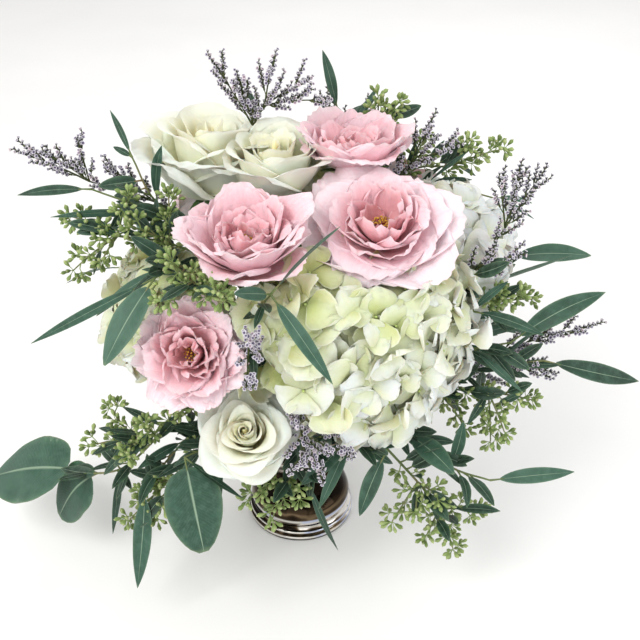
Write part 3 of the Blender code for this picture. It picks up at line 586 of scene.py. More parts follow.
def make_pink_petal():
    finish, along, edge, outward, side, veins = start_petal("pink_petal", 0.3, 0.003, 26.0, 1.6)
    reach = finish.mottle(finish.mad(along, 0.5, finish.mul(outward, 0.52)), 95.0, 0.16)
    body = finish.ramp(
        finish.mad(side, 0.05, reach), (0.08, 0.76, 0.3, 0.32), (0.28, 0.83, 0.39, 0.42),
        (0.48, 0.86, 0.46, 0.5), (0.7, 0.9, 0.58, 0.635), (0.98, 0.93, 0.75, 0.8))
    body = finish.mix(finish.span(veins, 0.42, 0.72, 0.0, 0.16), body, (0.78, 0.34, 0.4))
    body = finish.rim(body, edge, 0.1, 0.34, (0.9, 0.76, 0.79))
    base = finish.span(along, 0.2, 0.02, 0.0, 0.75)
    body = finish.mix(base, body, (0.86, 0.74, 0.48))
    return crinkled(finish, body, finish.mul(veins, 0.8), (190.0, 4.0, 0.8), 1.5, 0.0008, 0.6)


def make_ivory_petal():
    finish, along, edge, outward, side, veins = start_petal("ivory_petal", 0.46, 0.0055, 20.0, 1.3)
    reach = finish.mottle(finish.mad(along, 0.64, finish.mul(outward, 0.36)), 70.0, 0.16)
    body = finish.ramp(
        reach, (0.2, 0.88, 0.58, 0.25), (0.36, 0.92, 0.82, 0.44), (0.56, 0.92, 0.89, 0.61),
        (0.78, 0.91, 0.905, 0.74), (0.98, 0.9, 0.9, 0.82))
    green = finish.mul(side, finish.span(along, 0.7, 0.1, 0.0, 0.14))
    body = finish.mix(green, body, (0.84, 0.83, 0.58))
    body = finish.mix(finish.span(veins, 0.45, 0.75, 0.0, 0.1), body, (0.72, 0.71, 0.44))
    body = finish.rim(body, edge, 0.08, 0.4, (0.85, 0.86, 0.79))
    return crinkled(finish, body, finish.mul(veins, 0.8), (120.0, 3.0, 0.6), 1.2, 0.0005, 0.5)


def make_hydrangea_petal():
    finish, along, edge, green, _, veins = start_petal("hydrangea_petal", 0.3, 0.003, 15.0, 1.2)
    # the tint's first number is the floret's green, with painted shade mixed in; the more of it, the nearer
    # the dark olive end of the ramp
    reach = finish.mottle(finish.mad(green, -0.66, finish.mad(along, 0.42, 0.48)), 110.0, 0.24)
    body = finish.ramp(
        reach, (0.04, 0.34, 0.38, 0.1), (0.24, 0.5, 0.54, 0.23), (0.46, 0.66, 0.68, 0.44),
        (0.66, 0.71, 0.72, 0.59), (0.9, 0.77, 0.775, 0.735))
    body = finish.mix(finish.span(veins, 0.48, 0.74, 0.0, 0.22), body, (0.62, 0.65, 0.37))
    # painted shade: a cool lavender on the least green florets, which lie on the lower right of a head,
    # away from the key light
    lavender_shade = finish.mul(finish.span(green, 0.3, 0.0), finish.span(along, 0.1, 0.8, 0.0, 0.6))
    body = finish.mix(lavender_shade, body, (0.77, 0.78, 0.84))
    body = finish.rim(body, edge, 0.1, 0.5, (0.84, 0.845, 0.75))
    return crinkled(finish, body, veins, (170.0, 3.0, 0.6), 1.2, 0.0006, 0.7)


def make_stem_green():
    """Rose and hydrangea stems, sepals and petioles."""
    finish = Finish("stem", Roughness=0.5, IOR=1.42, Specular_IOR_Level=0.35)
    along, _, _ = finish.attribute("form")
    body = finish.ramp(
        finish.noise(140.0, 4.0), (0.28, 0.035, 0.085, 0.03), (0.52, 0.085, 0.17, 0.055),
        (0.78, 0.18, 0.25, 0.1))
    tip = finish.span(along, 0.55, 1.0, 0.0, 0.35)
    finish.set("Base Color", finish.mix(tip, body, (0.2, 0.3, 0.12)))
    finish.bump(finish.noise(900.0, 3.0), 0.0003, 0.5)
    return finish.material


def make_stamen():
    """Filaments turn from maroon to yellow anthers along their length."""
    finish = Finish("stamen", Roughness=0.7, Specular_IOR_Level=0.3)
    along, _, _ = finish.attribute("form")
    outward, _, _ = finish.attribute("tint")
    grain = finish.noise(2200.0)
    thread = finish.ramp(along, (0.0, 0.5, 0.22, 0.08), (1.0, 0.36, 0.06, 0.075))
    pollen = finish.ramp(grain, (0.3, 0.42, 0.22, 0.02), (0.7, 0.86, 0.6, 0.085))
    finish.set("Base Color", finish.mix(outward, thread, pollen))
    finish.bump(grain, 0.0002, 0.6)
    return finish.material


def make_leaf():
    """Waxy eucalyptus leaf: pale midrib, side veins, bloom of wax and a paler underside."""
    finish = Finish("eucalyptus_leaf", Roughness=0.46, IOR=1.45, Specular_IOR_Level=0.38,
                    Subsurface_Weight=0.1, Subsurface_Radius=(0.4, 1.0, 0.3),
                    Subsurface_Scale=0.0012)
    along, across, edge = finish.attribute("form")
    age_and_shade, _, side = finish.attribute("tint")
    off_middle = finish.away(across, 0.5)
    count = finish.mul(finish.mad(off_middle, -0.55, along), 150.0)
    wave = finish.math("SINE", finish.math("ADD", count, finish.mul(finish.noise(110.0, 3.0), 9.0)))
    lateral = finish.mul(finish.span(wave, 0.72, 1.0), finish.span(off_middle, 0.46, 0.3, 0.25, 1.0))
    cloud = finish.noise(60.0, 4.0, 0.6)
    # the tint's first number is the leaf's age, and painted shade for the inner leaves, which take its dark
    # end
    body = finish.ramp(
        finish.mad(cloud, 0.7, finish.mad(age_and_shade, 0.7, -0.2)), (0.1, 0.008, 0.024, 0.012),
        (0.4, 0.018, 0.054, 0.032), (0.66, 0.032, 0.09, 0.058), (0.92, 0.064, 0.136, 0.094))
    wax = finish.span(finish.noise(210.0, 5.0), 0.42, 0.72, 0.0, 0.3)
    rib = finish.span(off_middle, finish.mad(along, -0.018, 0.04), 0.0)
    for share, colour in ((wax, (0.1, 0.18, 0.135)), (finish.mul(lateral, 0.09), (0.17, 0.28, 0.19)),
                          (finish.mul(rib, 0.72), (0.34, 0.46, 0.33)),
                          (finish.mul(side, 0.5), (0.16, 0.25, 0.18))):
        body = finish.mix(share, body, colour)
    finish.set("Base Color", finish.rim(body, edge, 0.06, 0.3, (0.24, 0.27, 0.15)))
    finish.set("Roughness", finish.mad(wax, 0.5, finish.span(cloud, 0.3, 0.7, 0.38, 0.5)))
    net = finish.span(finish.voronoi(620.0, "DISTANCE_TO_EDGE"), 0.0, 0.12)
    relief = finish.mad(rib, -0.9, finish.mad(lateral, -0.25, finish.mul(net, 0.25)))
    finish.bump(relief, 0.0003, 0.7)
    return finish.material


def make_seed():
    finish = Finish("seed_capsule", Roughness=0.52, IOR=1.42, Specular_IOR_Level=0.35,
                    Subsurface_Weight=0.15, Subsurface_Radius=(0.6, 1.0, 0.3),
                    Subsurface_Scale=0.0012)
    along, around, _ = finish.attribute("form")
    _, chance, _ = finish.attribute("tint")
    speck = finish.noise(900.0, 3.0)
    body = finish.ramp(
        finish.mad(chance, 0.62, finish.mul(speck, 0.34)), (0.12, 0.085, 0.13, 0.035),
        (0.4, 0.19, 0.27, 0.085), (0.7, 0.31, 0.4, 0.15), (0.95, 0.44, 0.5, 0.23))
    body = finish.mix(finish.span(along, 0.74, 0.88, 0.0, 0.55), body, (0.52, 0.52, 0.29))
    body = finish.mix(finish.span(along, 0.94, 1.0, 0.0, 0.7), body, (0.22, 0.16, 0.07))
    finish.set("Base Color", body)
    ribs = finish.math("SINE", finish.mul(around, 25.13))
    finish.bump(finish.mad(ribs, 0.25, speck), 0.0003, 0.6)
    return finish.material


def make_limonium():
    """Calyx from olive at its foot, through purple-black, to a papery white rim."""
    finish = Finish("limonium", Roughness=0.75, Specular_IOR_Level=0.2, Sheen_Weight=0.15)
    along, around, _ = finish.attribute("form")
    _, chance, _ = finish.attribute("tint")
    tone = finish.mottle(along, 1500.0, 0.24, 2.0)
    body = finish.ramp(
        tone, (0.22, 0.08, 0.1, 0.034), (0.4, 0.036, 0.034, 0.066), (0.52, 0.1, 0.1, 0.14),
        (0.59, 0.88, 0.87, 0.89), (0.76, 0.64, 0.61, 0.69), (0.92, 0.11, 0.09, 0.16))
    blush = finish.mul(finish.span(chance, 0.78, 1.0, 0.0, 0.35), finish.span(tone, 0.4, 0.6))
    finish.set("Base Color", finish.mix(blush, body, (0.8, 0.6, 0.62)))
    finish.bump(finish.math("SINE", finish.mul(around, 62.8)), 0.0002, 0.5)
    return finish.material


# heights of the foot's steps; their crests get a painted highlight in the nickel's colour, besides real
# wear
FOOT_CRESTS = ((0.003, 0.0014), (0.0088, 0.0012), (0.0215, 0.0022))   # height, half width


def make_nickel():
    """Dark polished nickel, its colour painted with dark and bright bands of painted reflection, and with
    white and blue painted highlights on the crests of its steps, where it also wears bright; with spinning
    lines and smears.
    """
    finish = Finish("polished_nickel", Metallic=1.0)
    _, _, height = finish.parts(finish.place)
    # painted reflection: dark and bright bands in the colour stand in for the room and floor that the
    # polished metal mirrors
    drift = finish.noise(30.0, 2.0, 0.4)
    warped = finish.mad(height, 95.0, finish.mul(drift, 1.4))
    painted_reflection_bands = finish.noise(1.0, 1.0, 0.2, finish.vector(drift, 0.0, warped))
    body = finish.ramp(
        finish.mad(drift, 0.4, finish.mul(painted_reflection_bands, 0.6)), (0.455, 0.011, 0.008, 0.006),
        (0.51, 0.046, 0.031, 0.018), (0.55, 0.18, 0.13, 0.078), (0.6, 0.86, 0.83, 0.79))
    # painted highlight, white turning pale blue
    painted_highlight = finish.mix(finish.span(finish.noise(26.0), 0.5, 0.6), (0.95, 0.92, 0.86),
                       (0.66, 0.73, 0.96))
    # the crests of the steps take the painted highlight, partly also real wear
    for crest, width in FOOT_CRESTS:
        worn_and_highlight = finish.span(finish.away(height, crest), width, width * 0.3, 0.0, 0.85)
        body = finish.mix(worn_and_highlight, body, painted_highlight)
    finish.set("Base Color", body)
    rings = finish.noise(1.0, 3.0, 0.0, finish.vector(0.0, 0.0, finish.mul(height, 4200.0)))
    scratches = finish.noise(700.0, 6.0, 1.5)
    rough = finish.span(finish.noise(22.0, 5.0, 0.8), 0.35, 0.75, 0.02, 0.07)
    finish.set("Roughness", finish.mad(finish.span(scratches, 0.6, 0.75), 0.05, rough))
    finish.bump(finish.mad(scratches, 0.15, rings), 0.00003, 0.5)
    return finish.material


def make_foam():
    """Wet floral foam, dark and porous, with painted shade in its pores."""
    finish = Finish("wet_foam", Specular_IOR_Level=0.5)
    pores = finish.voronoi(1100.0)
    crumb = finish.noise(260.0, 5.0)
    body = finish.ramp(crumb, (0.28, 0.01, 0.035, 0.014), (0.55, 0.03, 0.095, 0.038),
                       (0.8, 0.07, 0.17, 0.075))
    # painted shade: the colour goes nearly black in the pores
    pore_shade = finish.span(pores, 0.1, 0.45, 0.55, 0.0)
    finish.set("Base Color", finish.mix(pore_shade, body, (0.006, 0.018, 0.008)))
    finish.set("Roughness", finish.span(crumb, 0.3, 0.7, 0.55, 0.95))
    finish.bump(finish.mad(pores, 0.8, crumb), 0.0009, 0.8)
    return finish.material


MATERIALS = {
    "pink_petal": make_pink_petal(),
    "ivory_petal": make_ivory_petal(),
    "hydrangea_petal": make_hydrangea_petal(),
    "floret_eye": grained(
        "floret_eye", 1300.0, 2.0, ((0.3, 0.3, 0.46, 0.11), (0.7, 0.62, 0.72, 0.28)),
        (1300.0, 2.0), Roughness=0.55, Specular_IOR_Level=0.35),
    "eucalyptus_leaf": make_leaf(),
    "twig": grained(                # thin olive stems that redden here and there
        "twig", 45.0, 3.0, ((0.3, 0.075, 0.12, 0.035), (0.5, 0.15, 0.19, 0.07),
                            (0.66, 0.24, 0.2, 0.1), (0.82, 0.33, 0.15, 0.105)),
        (1100.0, 3.0), Roughness=0.55, Specular_IOR_Level=0.3),
    "seed_capsule": make_seed(),
    "limonium_flower": make_limonium(),
    "stem": make_stem_green(),
    "dark_stem": grained(           # winged limonium stems, dark olive between the flowers
        "dark_stem", 260.0, 4.0, ((0.3, 0.018, 0.028, 0.008), (0.55, 0.06, 0.08, 0.026),
                                  (0.8, 0.14, 0.15, 0.06)),
        (1400.0, 2.0), Roughness=0.6, Specular_IOR_Level=0.25),
    "stamen": make_stamen(),
    "polished_nickel": make_nickel(),
}


# ---- roses ----------------------------------------------------------------------------
PETAL_BASE = 0.0032         # radius of the receptacle that the petals grow on
PETAL_THICKNESS = 0.00042
ROLL_START = 0.74           # share of a petal's half width where its side edge rolls back
ROLL_RADIUS = 0.0034
BUD_PROFILE = ((0.01, 0.1), (0.06, 0.3), (0.075, 0.6), (0.055, 0.8), (0.025, 0.9), (0.006, 0.93))
# how far under the head each ring of the hip lies, and its radius
HIP = ((0.007, 0.0027), (0.0055, 0.004), (0.0035, 0.0052), (0.0012, 0.0056), (-0.001, 0.0046))
SEPALS = 5
SEPAL_THICKNESS = 0.0006
ROSE_HEAD = 0.5             # share of the depth that lies under the middle
ROSE_STEM_TOP = 0.004       # how far under the head the stem ends
FILAMENT = 0.00022          # radius of a stamen's thread
STAMEN_ROOT = 0.004         # radius of the ring that the outer stamens grow on
STAMEN_SPREAD = 0.155       # how far out they lean, as a share of the bloom's radius
STAMEN_FOOT = 0.002         # how far over the head they start
ROSE_SEED = 100


def petal_section(tip_radius, tip_height, base_angle, tip_angle, lip, lip_start):
    """Radius, height and slope along a petal's middle line, whose lip bends outwards."""
    base = np.array((PETAL_BASE, 0.0))
    tip = np.array((tip_radius, tip_height))
    reach = 0.42 * np.linalg.norm(tip - base)
    first = base + reach * np.array((math.cos(base_angle), math.sin(base_angle)))
    second = tip - reach * np.array((math.cos(tip_angle), math.sin(tip_angle)))
    t = np.linspace(0.0, 1.0, 41)
    s = 1.0 - t
    rate = (3 * (s * s)[:, None] * (first - base) + 6 * (s * t)[:, None] * (second - first)
            + 3 * (t * t)[:, None] * (tip - second))
    slope = np.unwrap(np.arctan2(rate[:, 1], rate[:, 0]))
    slope -= lip * np.clip((t - lip_start) / (1.0 - lip_start), 0.0, 1.0) ** 1.6
    speed = np.linalg.norm(rate, axis=1) * (t[1] - t[0])
    step = speed[:, None] * np.column_stack((np.cos(slope), np.sin(slope)))
    middle = 0.5 * (step[1:] + step[:-1])
    line = base + np.concatenate((np.zeros((1, 2)), np.cumsum(middle, axis=0)))
    return t, line[:, 0], line[:, 1], slope


def add_rose_petal(piece, rng, style, openness, azimuth, radius, depth, place, rotation):
    """One petal: its section, wrapped round the bloom's axis, with rolled and ruffled edges."""
    look = {key: float(np.interp(openness, STAGES, style[key]))
            for key in ("tip_radius", "tip_height", "base_angle", "tip_angle", "lip",
                        "half_width", "ruffle", "roll")}
    loose = style["disorder"] * (1.0 - 0.55 * openness)
    size = rng.normal(1.0, 0.05 + 0.08 * loose)
    section = petal_section(
        radius * look["tip_radius"] * rng.normal(1.0, 0.03 + 0.1 * loose),
        depth * look["tip_height"] * rng.normal(1.0, 0.03 + 0.08 * loose),
        math.radians(look["base_angle"] + rng.normal(0, 4)),
        math.radians(look["tip_angle"] + rng.normal(0, 4 + 8 * loose)),
        math.radians(look["lip"] * rng.uniform(0.7, 1.3)), style["lip_start"])
    rows = 9 + int(4 * openness)
    cols = 13 + 2 * int(5 * openness)
    u, v = np.meshgrid(np.linspace(0.0, 1.0, rows) ** 0.85, np.linspace(-1.0, 1.0, cols),
                       indexing="ij")
    v = v * (1.22 - 0.22 * v * v)
    phase = rng.uniform(0.0, 2.0 * math.pi, 5)
    waves = (np.sin(1.7 * math.pi * v + phase[0]) + 0.7 * np.sin(3.1 * math.pi * v + phase[1])
             + 0.35 * np.sin(5.1 * math.pi * v + phase[2]))
    notches = np.sin(7.3 * math.pi * v + phase[3])
    half = radius * look["half_width"] * size
    point = rng.uniform(0.0, 0.06) if look["ruffle"] < 0.015 else rng.uniform(-0.06, 0.02)
    reach = (u - 0.15 * np.abs(v) ** 2.3 * u ** 3 + point * np.exp(-(v / 0.22) ** 2) * u ** 6
             + look["ruffle"] * (0.4 * waves * u ** 7 + 0.34 * notches * u ** 12))
    reach = np.clip(reach, 0.0, 1.08)
    rise = np.sin(0.5 * math.pi * np.clip(u / 0.68, 0.0, 1.0))
    wide = half * (0.2 + 0.8 * rise ** 0.9)
    wide *= 1.0 - 0.36 * np.clip((u - 0.68) / 0.32, 0.0, 1.0) ** 2
    lateral = v * wide
    lift = 0.1 * wide * v * v
    rolled = look["roll"] * smoothstep(0.3, 0.85, u) * rng.uniform(0.6, 1.2, 2)[(v > 0).astype(int)]
    turn_radius = ROLL_RADIUS / np.maximum(rolled, 0.02)
    excess = np.maximum(np.abs(lateral) - ROLL_START * wide, 0.0)
    curl = np.minimum(excess / turn_radius, 2.4)
    lateral = np.where(excess > 0.0,
                       np.sign(v) * (ROLL_START * wide + turn_radius * np.sin(curl)), lateral)
    lift -= turn_radius * (1.0 - np.cos(curl))
    lift += look["ruffle"] * radius * waves * u ** 2.2 * (0.55 + 0.45 * np.abs(v))
    frill = np.sin(9.1 * math.pi * v + phase[4])
    lift += 0.34 * look["ruffle"] * radius * frill * smoothstep(0.55, 1.0, np.maximum(u, np.abs(v)))
    crease = np.exp(-(v / 0.1) ** 2) * rng.uniform(-0.004, 0.012) * radius
    lift += crease * np.sin(math.pi * np.clip(u, 0.0, 1.0))
    t, line_r, line_z, line_slope = section
    spread = np.interp(reach, t, line_r) * (1.0 + style["wrap"] * style["tuck"] * v)
    spread = spread + style["tuck"] * radius * v * (1.0 - 0.5 * openness) * u
    height = np.interp(reach, t, line_z)
    slope = np.interp(reach, t, line_slope)
    over = np.maximum(reach - 1.0, 0.0) * radius
    spread = spread + over * np.cos(slope)
    height = height + over * np.sin(slope)
    bend = np.maximum(spread * 1.05, (1.0 - style["wrap"]) * 0.3 * wide + 0.0014)
    angle = np.clip(lateral / bend, -2.9, 2.9)
    rim = bend - lift * np.sin(slope)
    z = height + lift * np.cos(slope)
    grid = spun((spread - bend) + rim * np.cos(angle), rim * np.sin(angle), z, azimuth)
    lean = rng.normal(0.0, 0.05 * loose, 2)
    grid[..., 0] += lean[0] * z
    grid[..., 1] += lean[1] * z
    grid = grid @ rotation.T + place
    add_shell(piece, grid, PETAL_THICKNESS, u, v, (openness * style["fade"], rng.random()))


ANTHER = turned_template((
    (0.0002, -0.0008), (0.00062, -0.0004), (0.00066, 0.0003), (0.0002, 0.0008)), 5)


def add_stamens(piece, rng, count, radius, depth, place, rotation):
    """Tuft of filaments with anthers in the middle of an open bloom."""
    for k in range(count):
        share = math.sqrt((k + 0.5) / count)
        out = spoke(k * GOLDEN_ANGLE)
        foot = out * STAMEN_ROOT * share
        tip = out * radius * STAMEN_SPREAD * share
        tip[2] = depth * (0.5 - 0.14 * share * share) * rng.uniform(0.88, 1.12)
        foot[2] = STAMEN_FOOT
        middle = (foot + tip) * 0.5 + rng.normal(0.0, 0.0006, 3)
        route = np.array((foot, middle, tip)) @ rotation.T + place
        add_tube(piece, route, FILAMENT, 3, (0.0, rng.random()), 1)
        stamp(piece, ANTHER, route[-1], facing_frame(rng.normal(0, 1, 3)), 1.0,
              (1.0, rng.random()), 1)


def bloom_stem(head, facing, azimuth, socket_radius, reach_below):
    """Route of a bloom's stem, bending from its socket to the way the bloom faces."""
    end, entry, direction = stem_line(azimuth, socket_radius)
    lead = entry + direction * STEM_LEAD
    top = head - facing * reach_below
    reach = np.linalg.norm(top - lead) * 0.4
    route = [end, entry]
    for t in np.linspace(0.0, 1.0, 12):
        s = 1.0 - t
        route.append(lead * s ** 3 + (lead + direction * reach) * 3 * s * s * t
                     + (top - facing * reach) * 3 * s * t * t + top * t ** 3)
    return np.array(route)


def add_sepals(piece, rng, radius, place, rotation):
    """Pointed sepals that fold back under a rose."""
    u, v = np.meshgrid(np.linspace(0.0, 1.0, 8), np.linspace(-1.0, 1.0, 5), indexing="ij")
    for k in range(SEPALS):
        length = radius * rng.uniform(0.5, 0.66)
        fall = rng.uniform(-0.5, 0.2)
        y = v * 0.0042 * (1.0 - u) ** 0.7 * (0.6 + 1.2 * u)
        z = -0.002 + 0.006 * u + fall * length * u * u + 0.0012 * v * v
        grid = spun(0.003 + length * u, y, z, math.radians(360.0 / SEPALS * k + 20.0))
        add_shell(piece, grid @ rotation.T + place, SEPAL_THICKNESS, u, v, (0.0, rng.random()))


def make_rose(name, spec, number):
    """Bloom with its stamens or bud, and its stem with hip and sepals."""
    slot, style_name, middle, facing, radius, depth, azimuth, socket_radius, turn = spec
    middle, radius, depth, socket_radius = metres(middle, radius, depth, socket_radius)
    style = STYLES[style_name]
    rng = np.random.default_rng(ROSE_SEED + number)
    facing = unit(np.array(facing))
    rotation = facing_frame(facing, math.radians(turn))
    head = middle - facing * depth * ROSE_HEAD
    petals = Piece()
    for ring, (count, level) in enumerate(style["rings"]):
        for k in range(count):
            openness = min(max(level + rng.normal(0.0, 0.025), 0.0), 1.0)
            swing = rng.normal(0.0, 0.1 + 0.3 * style["disorder"] * (1.0 - openness))
            azimuth_here = 2.0 * math.pi * k / count + ring * GOLDEN_ANGLE + swing
            add_rose_petal(petals, rng, style, openness, azimuth_here, radius, depth, head,
                           rotation)
    if style["stamens"]:
        add_stamens(petals, rng, style["stamens"], radius, depth, head, rotation)
    else:
        bud = turned_template(
            [(radius * wide, depth * high) for wide, high in BUD_PROFILE], 10, 3, 0.1)
        stamp(petals, bud, head, rotation, 1.0, (0.0, rng.random()))
    petals.build(name + "_bloom", (slot, "stamen"), name)
    green = Piece()
    add_tube(green, bloom_stem(head, facing, azimuth, socket_radius, ROSE_STEM_TOP), ROSE_STEM, 9)
    add_tube(green, [head - facing * drop for drop, _ in HIP], [wide for _, wide in HIP], 12)
    add_sepals(green, rng, radius, head - facing * 0.001, rotation)
    green.build(name + "_stem", ("stem",), name)


# ---- hydrangeas -----------------------------------------------------------------------
EYE_PROFILE = ((0.012, -0.02), (0.05, 0.02), (0.048, 0.07), (0.014, 0.1))
FLORET_KINDS = 12
LAYERS = ((1.0, 1.0), (0.36, 0.8))     # share of the florets, and how far out they stand
BLOOM_END = math.cos(math.radians(122.0))
BLOOM_GAP = 0.009           # florets keep this far from a rose's petals
SHOOT_GAP = 0.033           # and this far from the sprigs that hang in front of them
SEPAL_SHEET = 0.018         # thickness of a sepal, as a share of its length
HYDRANGEA_HEAD = 0.42       # share of the depth that lies under the middle
HYDRANGEA_STEM_TOP = 0.01   # how far under the head the stem ends
FLORET_ROOT = 0.012         # how far under the head the florets' stalks meet
FLORET_STALK = (0.0011, 0.0008, 0.0006)  # radii from its root to the floret
HYDRANGEA_SEED = 300


def make_floret(rng):
    """One floret of unit sepal length: two pairs of round sepals about a small green eye."""
    floret = Piece()
    for k in (0, 2, 1, 3):
        u, v = np.meshgrid(np.sin(np.linspace(0.0, 0.5 * math.pi, 7)) ** 0.9,
                           np.linspace(-1.0, 1.0, 7), indexing="ij")
        v = v * (1.2 - 0.2 * v * v)
        rise = np.sin(0.5 * math.pi * np.clip(u / 0.5, 0.0, 1.0)) ** 0.8
        wide = rng.uniform(0.6, 0.76) * (0.08 + 0.92 * rise)
        wide = wide * np.sqrt(1.0 - 0.955 * np.clip((u - 0.5) / 0.5, 0.0, 1.0) ** 2)
        phase = rng.uniform(0.0, FULL_TURN, 3)
        waves = np.sin(1.9 * math.pi * v + phase[0]) + 0.7 * np.sin(3.3 * math.pi * v + phase[1])
        reach = u - 0.08 * v ** 2 * u ** 2
        tilt = np.clip(rng.normal(0.3, 0.26), -0.15, 0.85)
        fall = rng.uniform(0.1, 0.7)
        fold = rng.uniform(-0.42, 0.5)
        x = 0.05 + reach * math.cos(tilt * 0.7)
        y = v * wide * math.cos(fold * 0.8)
        z = tilt * reach - fall * reach ** 2.3 + fold * wide * v * v
        z = z + 0.095 * waves * u * u * (0.35 + 0.65 * np.abs(v)) + 0.03 * np.sin(6.3 * u + phase[2])
        z = z + (0.02 if k % 2 else -0.01)
        twist = rng.normal(0.0, 0.22)
        y, z = y * math.cos(twist) - z * math.sin(twist), z * math.cos(twist) + y * math.sin(twist)
        grid = spun(x, y, z, math.radians(90.0 * k) + rng.normal(0.0, 0.12))
        add_shell(floret, grid * rng.uniform(0.84, 1.06), SEPAL_SHEET, u, v, (0, 0))
    add_turned(floret, EYE_PROFILE, 6, finish=1, lobes=4, depth=0.1)
    return floret


ROSE_SPACES = [(unit(np.array(facing)), *metres(middle, radius, depth))
               for _, _, middle, facing, radius, depth, *_ in ROSES.values()]


def under_bloom(point, margin):
    """Whether a point lies in the space that a rose's petals fill."""
    for axis, middle, radius, depth in ROSE_SPACES:
        offset = point - middle
        height = offset @ axis
        away = np.linalg.norm(offset - axis * height) / (radius + 0.5 * margin)
        if away < 1.0 and -0.5 * depth + 0.4 * depth * away - margin < height < 0.6 * depth + margin:
            return True
    return False


def pushed_aside(point):
    """Whether a sprig in front takes the place of a floret."""
    for name in ("limonium_front", "limonium_low_front"):
        for start, tip, _ in shoots_of(SPRIGS[name]):
            for share in (0.55, 1.0):
                if np.linalg.norm(point - start - (tip - start) * share) < SHOOT_GAP:
                    return True
    return False


def make_hydrangea(name, spec, number):
    """Head of florets on thin stalks, and its stem."""
    middle, facing, radius, depth, azimuth, socket_radius, florets, sepal, green, stretch = spec
    middle, radius, depth, socket_radius, sepal = metres(middle, radius, depth, socket_radius, sepal)
    rng = np.random.default_rng(HYDRANGEA_SEED + number)
    templates = [make_floret(rng) for _ in range(FLORET_KINDS)]
    facing = unit(np.array(facing))
    rotation = facing_frame(facing)
    head = middle - facing * depth * HYDRANGEA_HEAD
    root = head - facing * FLORET_ROOT
    bloom = Piece()
    stems = Piece()
    half = radius - sepal * 0.52
    size = np.array((half, half * stretch, depth * 0.95))
    for layer, (portion, share) in enumerate(LAYERS):
        count = int(florets * portion)
        for k in range(count):
            cosine = 1.0 - (k + 0.5) / count * (1.0 - BLOOM_END)
            out = spoke(k * GOLDEN_ANGLE + rng.normal(0.0, 0.12)) * math.sqrt(1.0 - cosine * cosine)
            out[2] = cosine
            place = out * size * (share * (1.0 - 0.12 * rng.random()))
            normal = unit(unit(out / size) + rng.normal(0.0, 0.28, 3))
            turned = rotation @ facing_frame(normal, rng.uniform(0.0, FULL_TURN))
            world = rotation @ place + head
            if under_bloom(world, BLOOM_GAP) or pushed_aside(world):
                continue
            outward = rotation @ out
            # tone is the floret's green; it falls towards the lower right of the head, away from the key
            # light, where the petal colour turns to a lavender painted shade
            tone = green + 0.26 * (outward[2] * 0.7 - outward[0] * 0.6) + rng.normal(0.0, 0.09)
            # inner florets get more: painted shade deep in the head that darkens them towards olive,
            # besides their own green
            tone += 0.32 * layer
            stamp(bloom, templates[rng.integers(FLORET_KINDS)], world, turned,
                  sepal * rng.uniform(0.88, 1.08), (min(max(tone, 0.0), 1.0), rng.random()))
            bend = root * 0.5 + world * 0.5 + facing * 0.006
            add_tube(stems, (root, bend, world - turned[:, 2] * 0.0008), FLORET_STALK, 4)
    bloom.build(name + "_bloom", ("hydrangea_petal", "floret_eye"), name)
    add_tube(stems, bloom_stem(head, facing, azimuth, socket_radius, HYDRANGEA_STEM_TOP), HYDRANGEA_STEM, 9)
    stems.build(name + "_stem", ("stem",), name)


# ---- sprigs ---------------------------------------------------------------------------
EDGE_ON_LENGTH = 0.045      # a leaf longer than this that is drawn narrower
NARROWEST_LEAF = 0.013      # than this is one seen on its edge
LEAF_COLUMNS = np.array((-1.0, -0.72, -0.38, -0.07, 0.0, 0.07, 0.38, 0.72, 1.0))
LEAF_THICKNESS = 0.00055
THINNEST_HALF = 0.00025     # half width that a blade keeps at its tip
INNER_LEAF_GAP = 0.006      # inner leaves keep this far from a rose's petals
LEAF_STALK = (0.0011, 0.0009, 0.0008, 0.0007, 0.0004)    # radii from the stem to the blade
# radius and height of a capsule and of a calyx
CAPSULE = turned_template((
    (0.00028, 0.0), (0.00062, 0.0012), (0.00126, 0.0028), (0.00178, 0.0046),
    (0.00168, 0.0058), (0.00088, 0.0067), (0.00016, 0.0076)), 6)
CALYX = turned_template((
    (0.00038, 0.0), (0.00092, 0.0021), (0.00205, 0.0044), (0.00055, 0.0036)), 5)
# radii of the stalks, and distances between what grows along a stem or spray
UMBEL_STALK = (0.0006, 0.0005, 0.00055)
CAPSULE_STALK = 0.00034
UMBEL_SPACING = 0.0068
STEM_UMBEL_SPACING = 0.01
CALYX_SPACING = 0.0018
SPIKE_STALK = (0.0008, 0.001, 0.0009, 0.0004)
BRANCH_STALK = (0.00055, 0.00045)
BRANCH_SPACING = 0.0085
STEM_BRANCH_REACH = 0.017   # about how long the spikes on the stem itself are


def shoots_of(spec):
    """Start, tip and width of each leaf or spray of a sprig."""
    _, _, waypoints, shoots = spec
    return [metres(waypoints[index], tip, width) for index, *tip, width in shoots]


def shoot_line(start, tip, face, share):
    """Point on the arched middle line of a leaf or spray."""
    run = tip - start
    share = np.asarray(share)[..., None]
    return start + run * share + face * np.linalg.norm(run) * LEAF_ARCH * np.sin(math.pi * share)


def face_of(start):
    turn = math.copysign(LEAF_FACE[1], start[1] - LEAF_TURN)
    return unit(np.array((LEAF_FACE[0], turn, LEAF_FACE[2])))


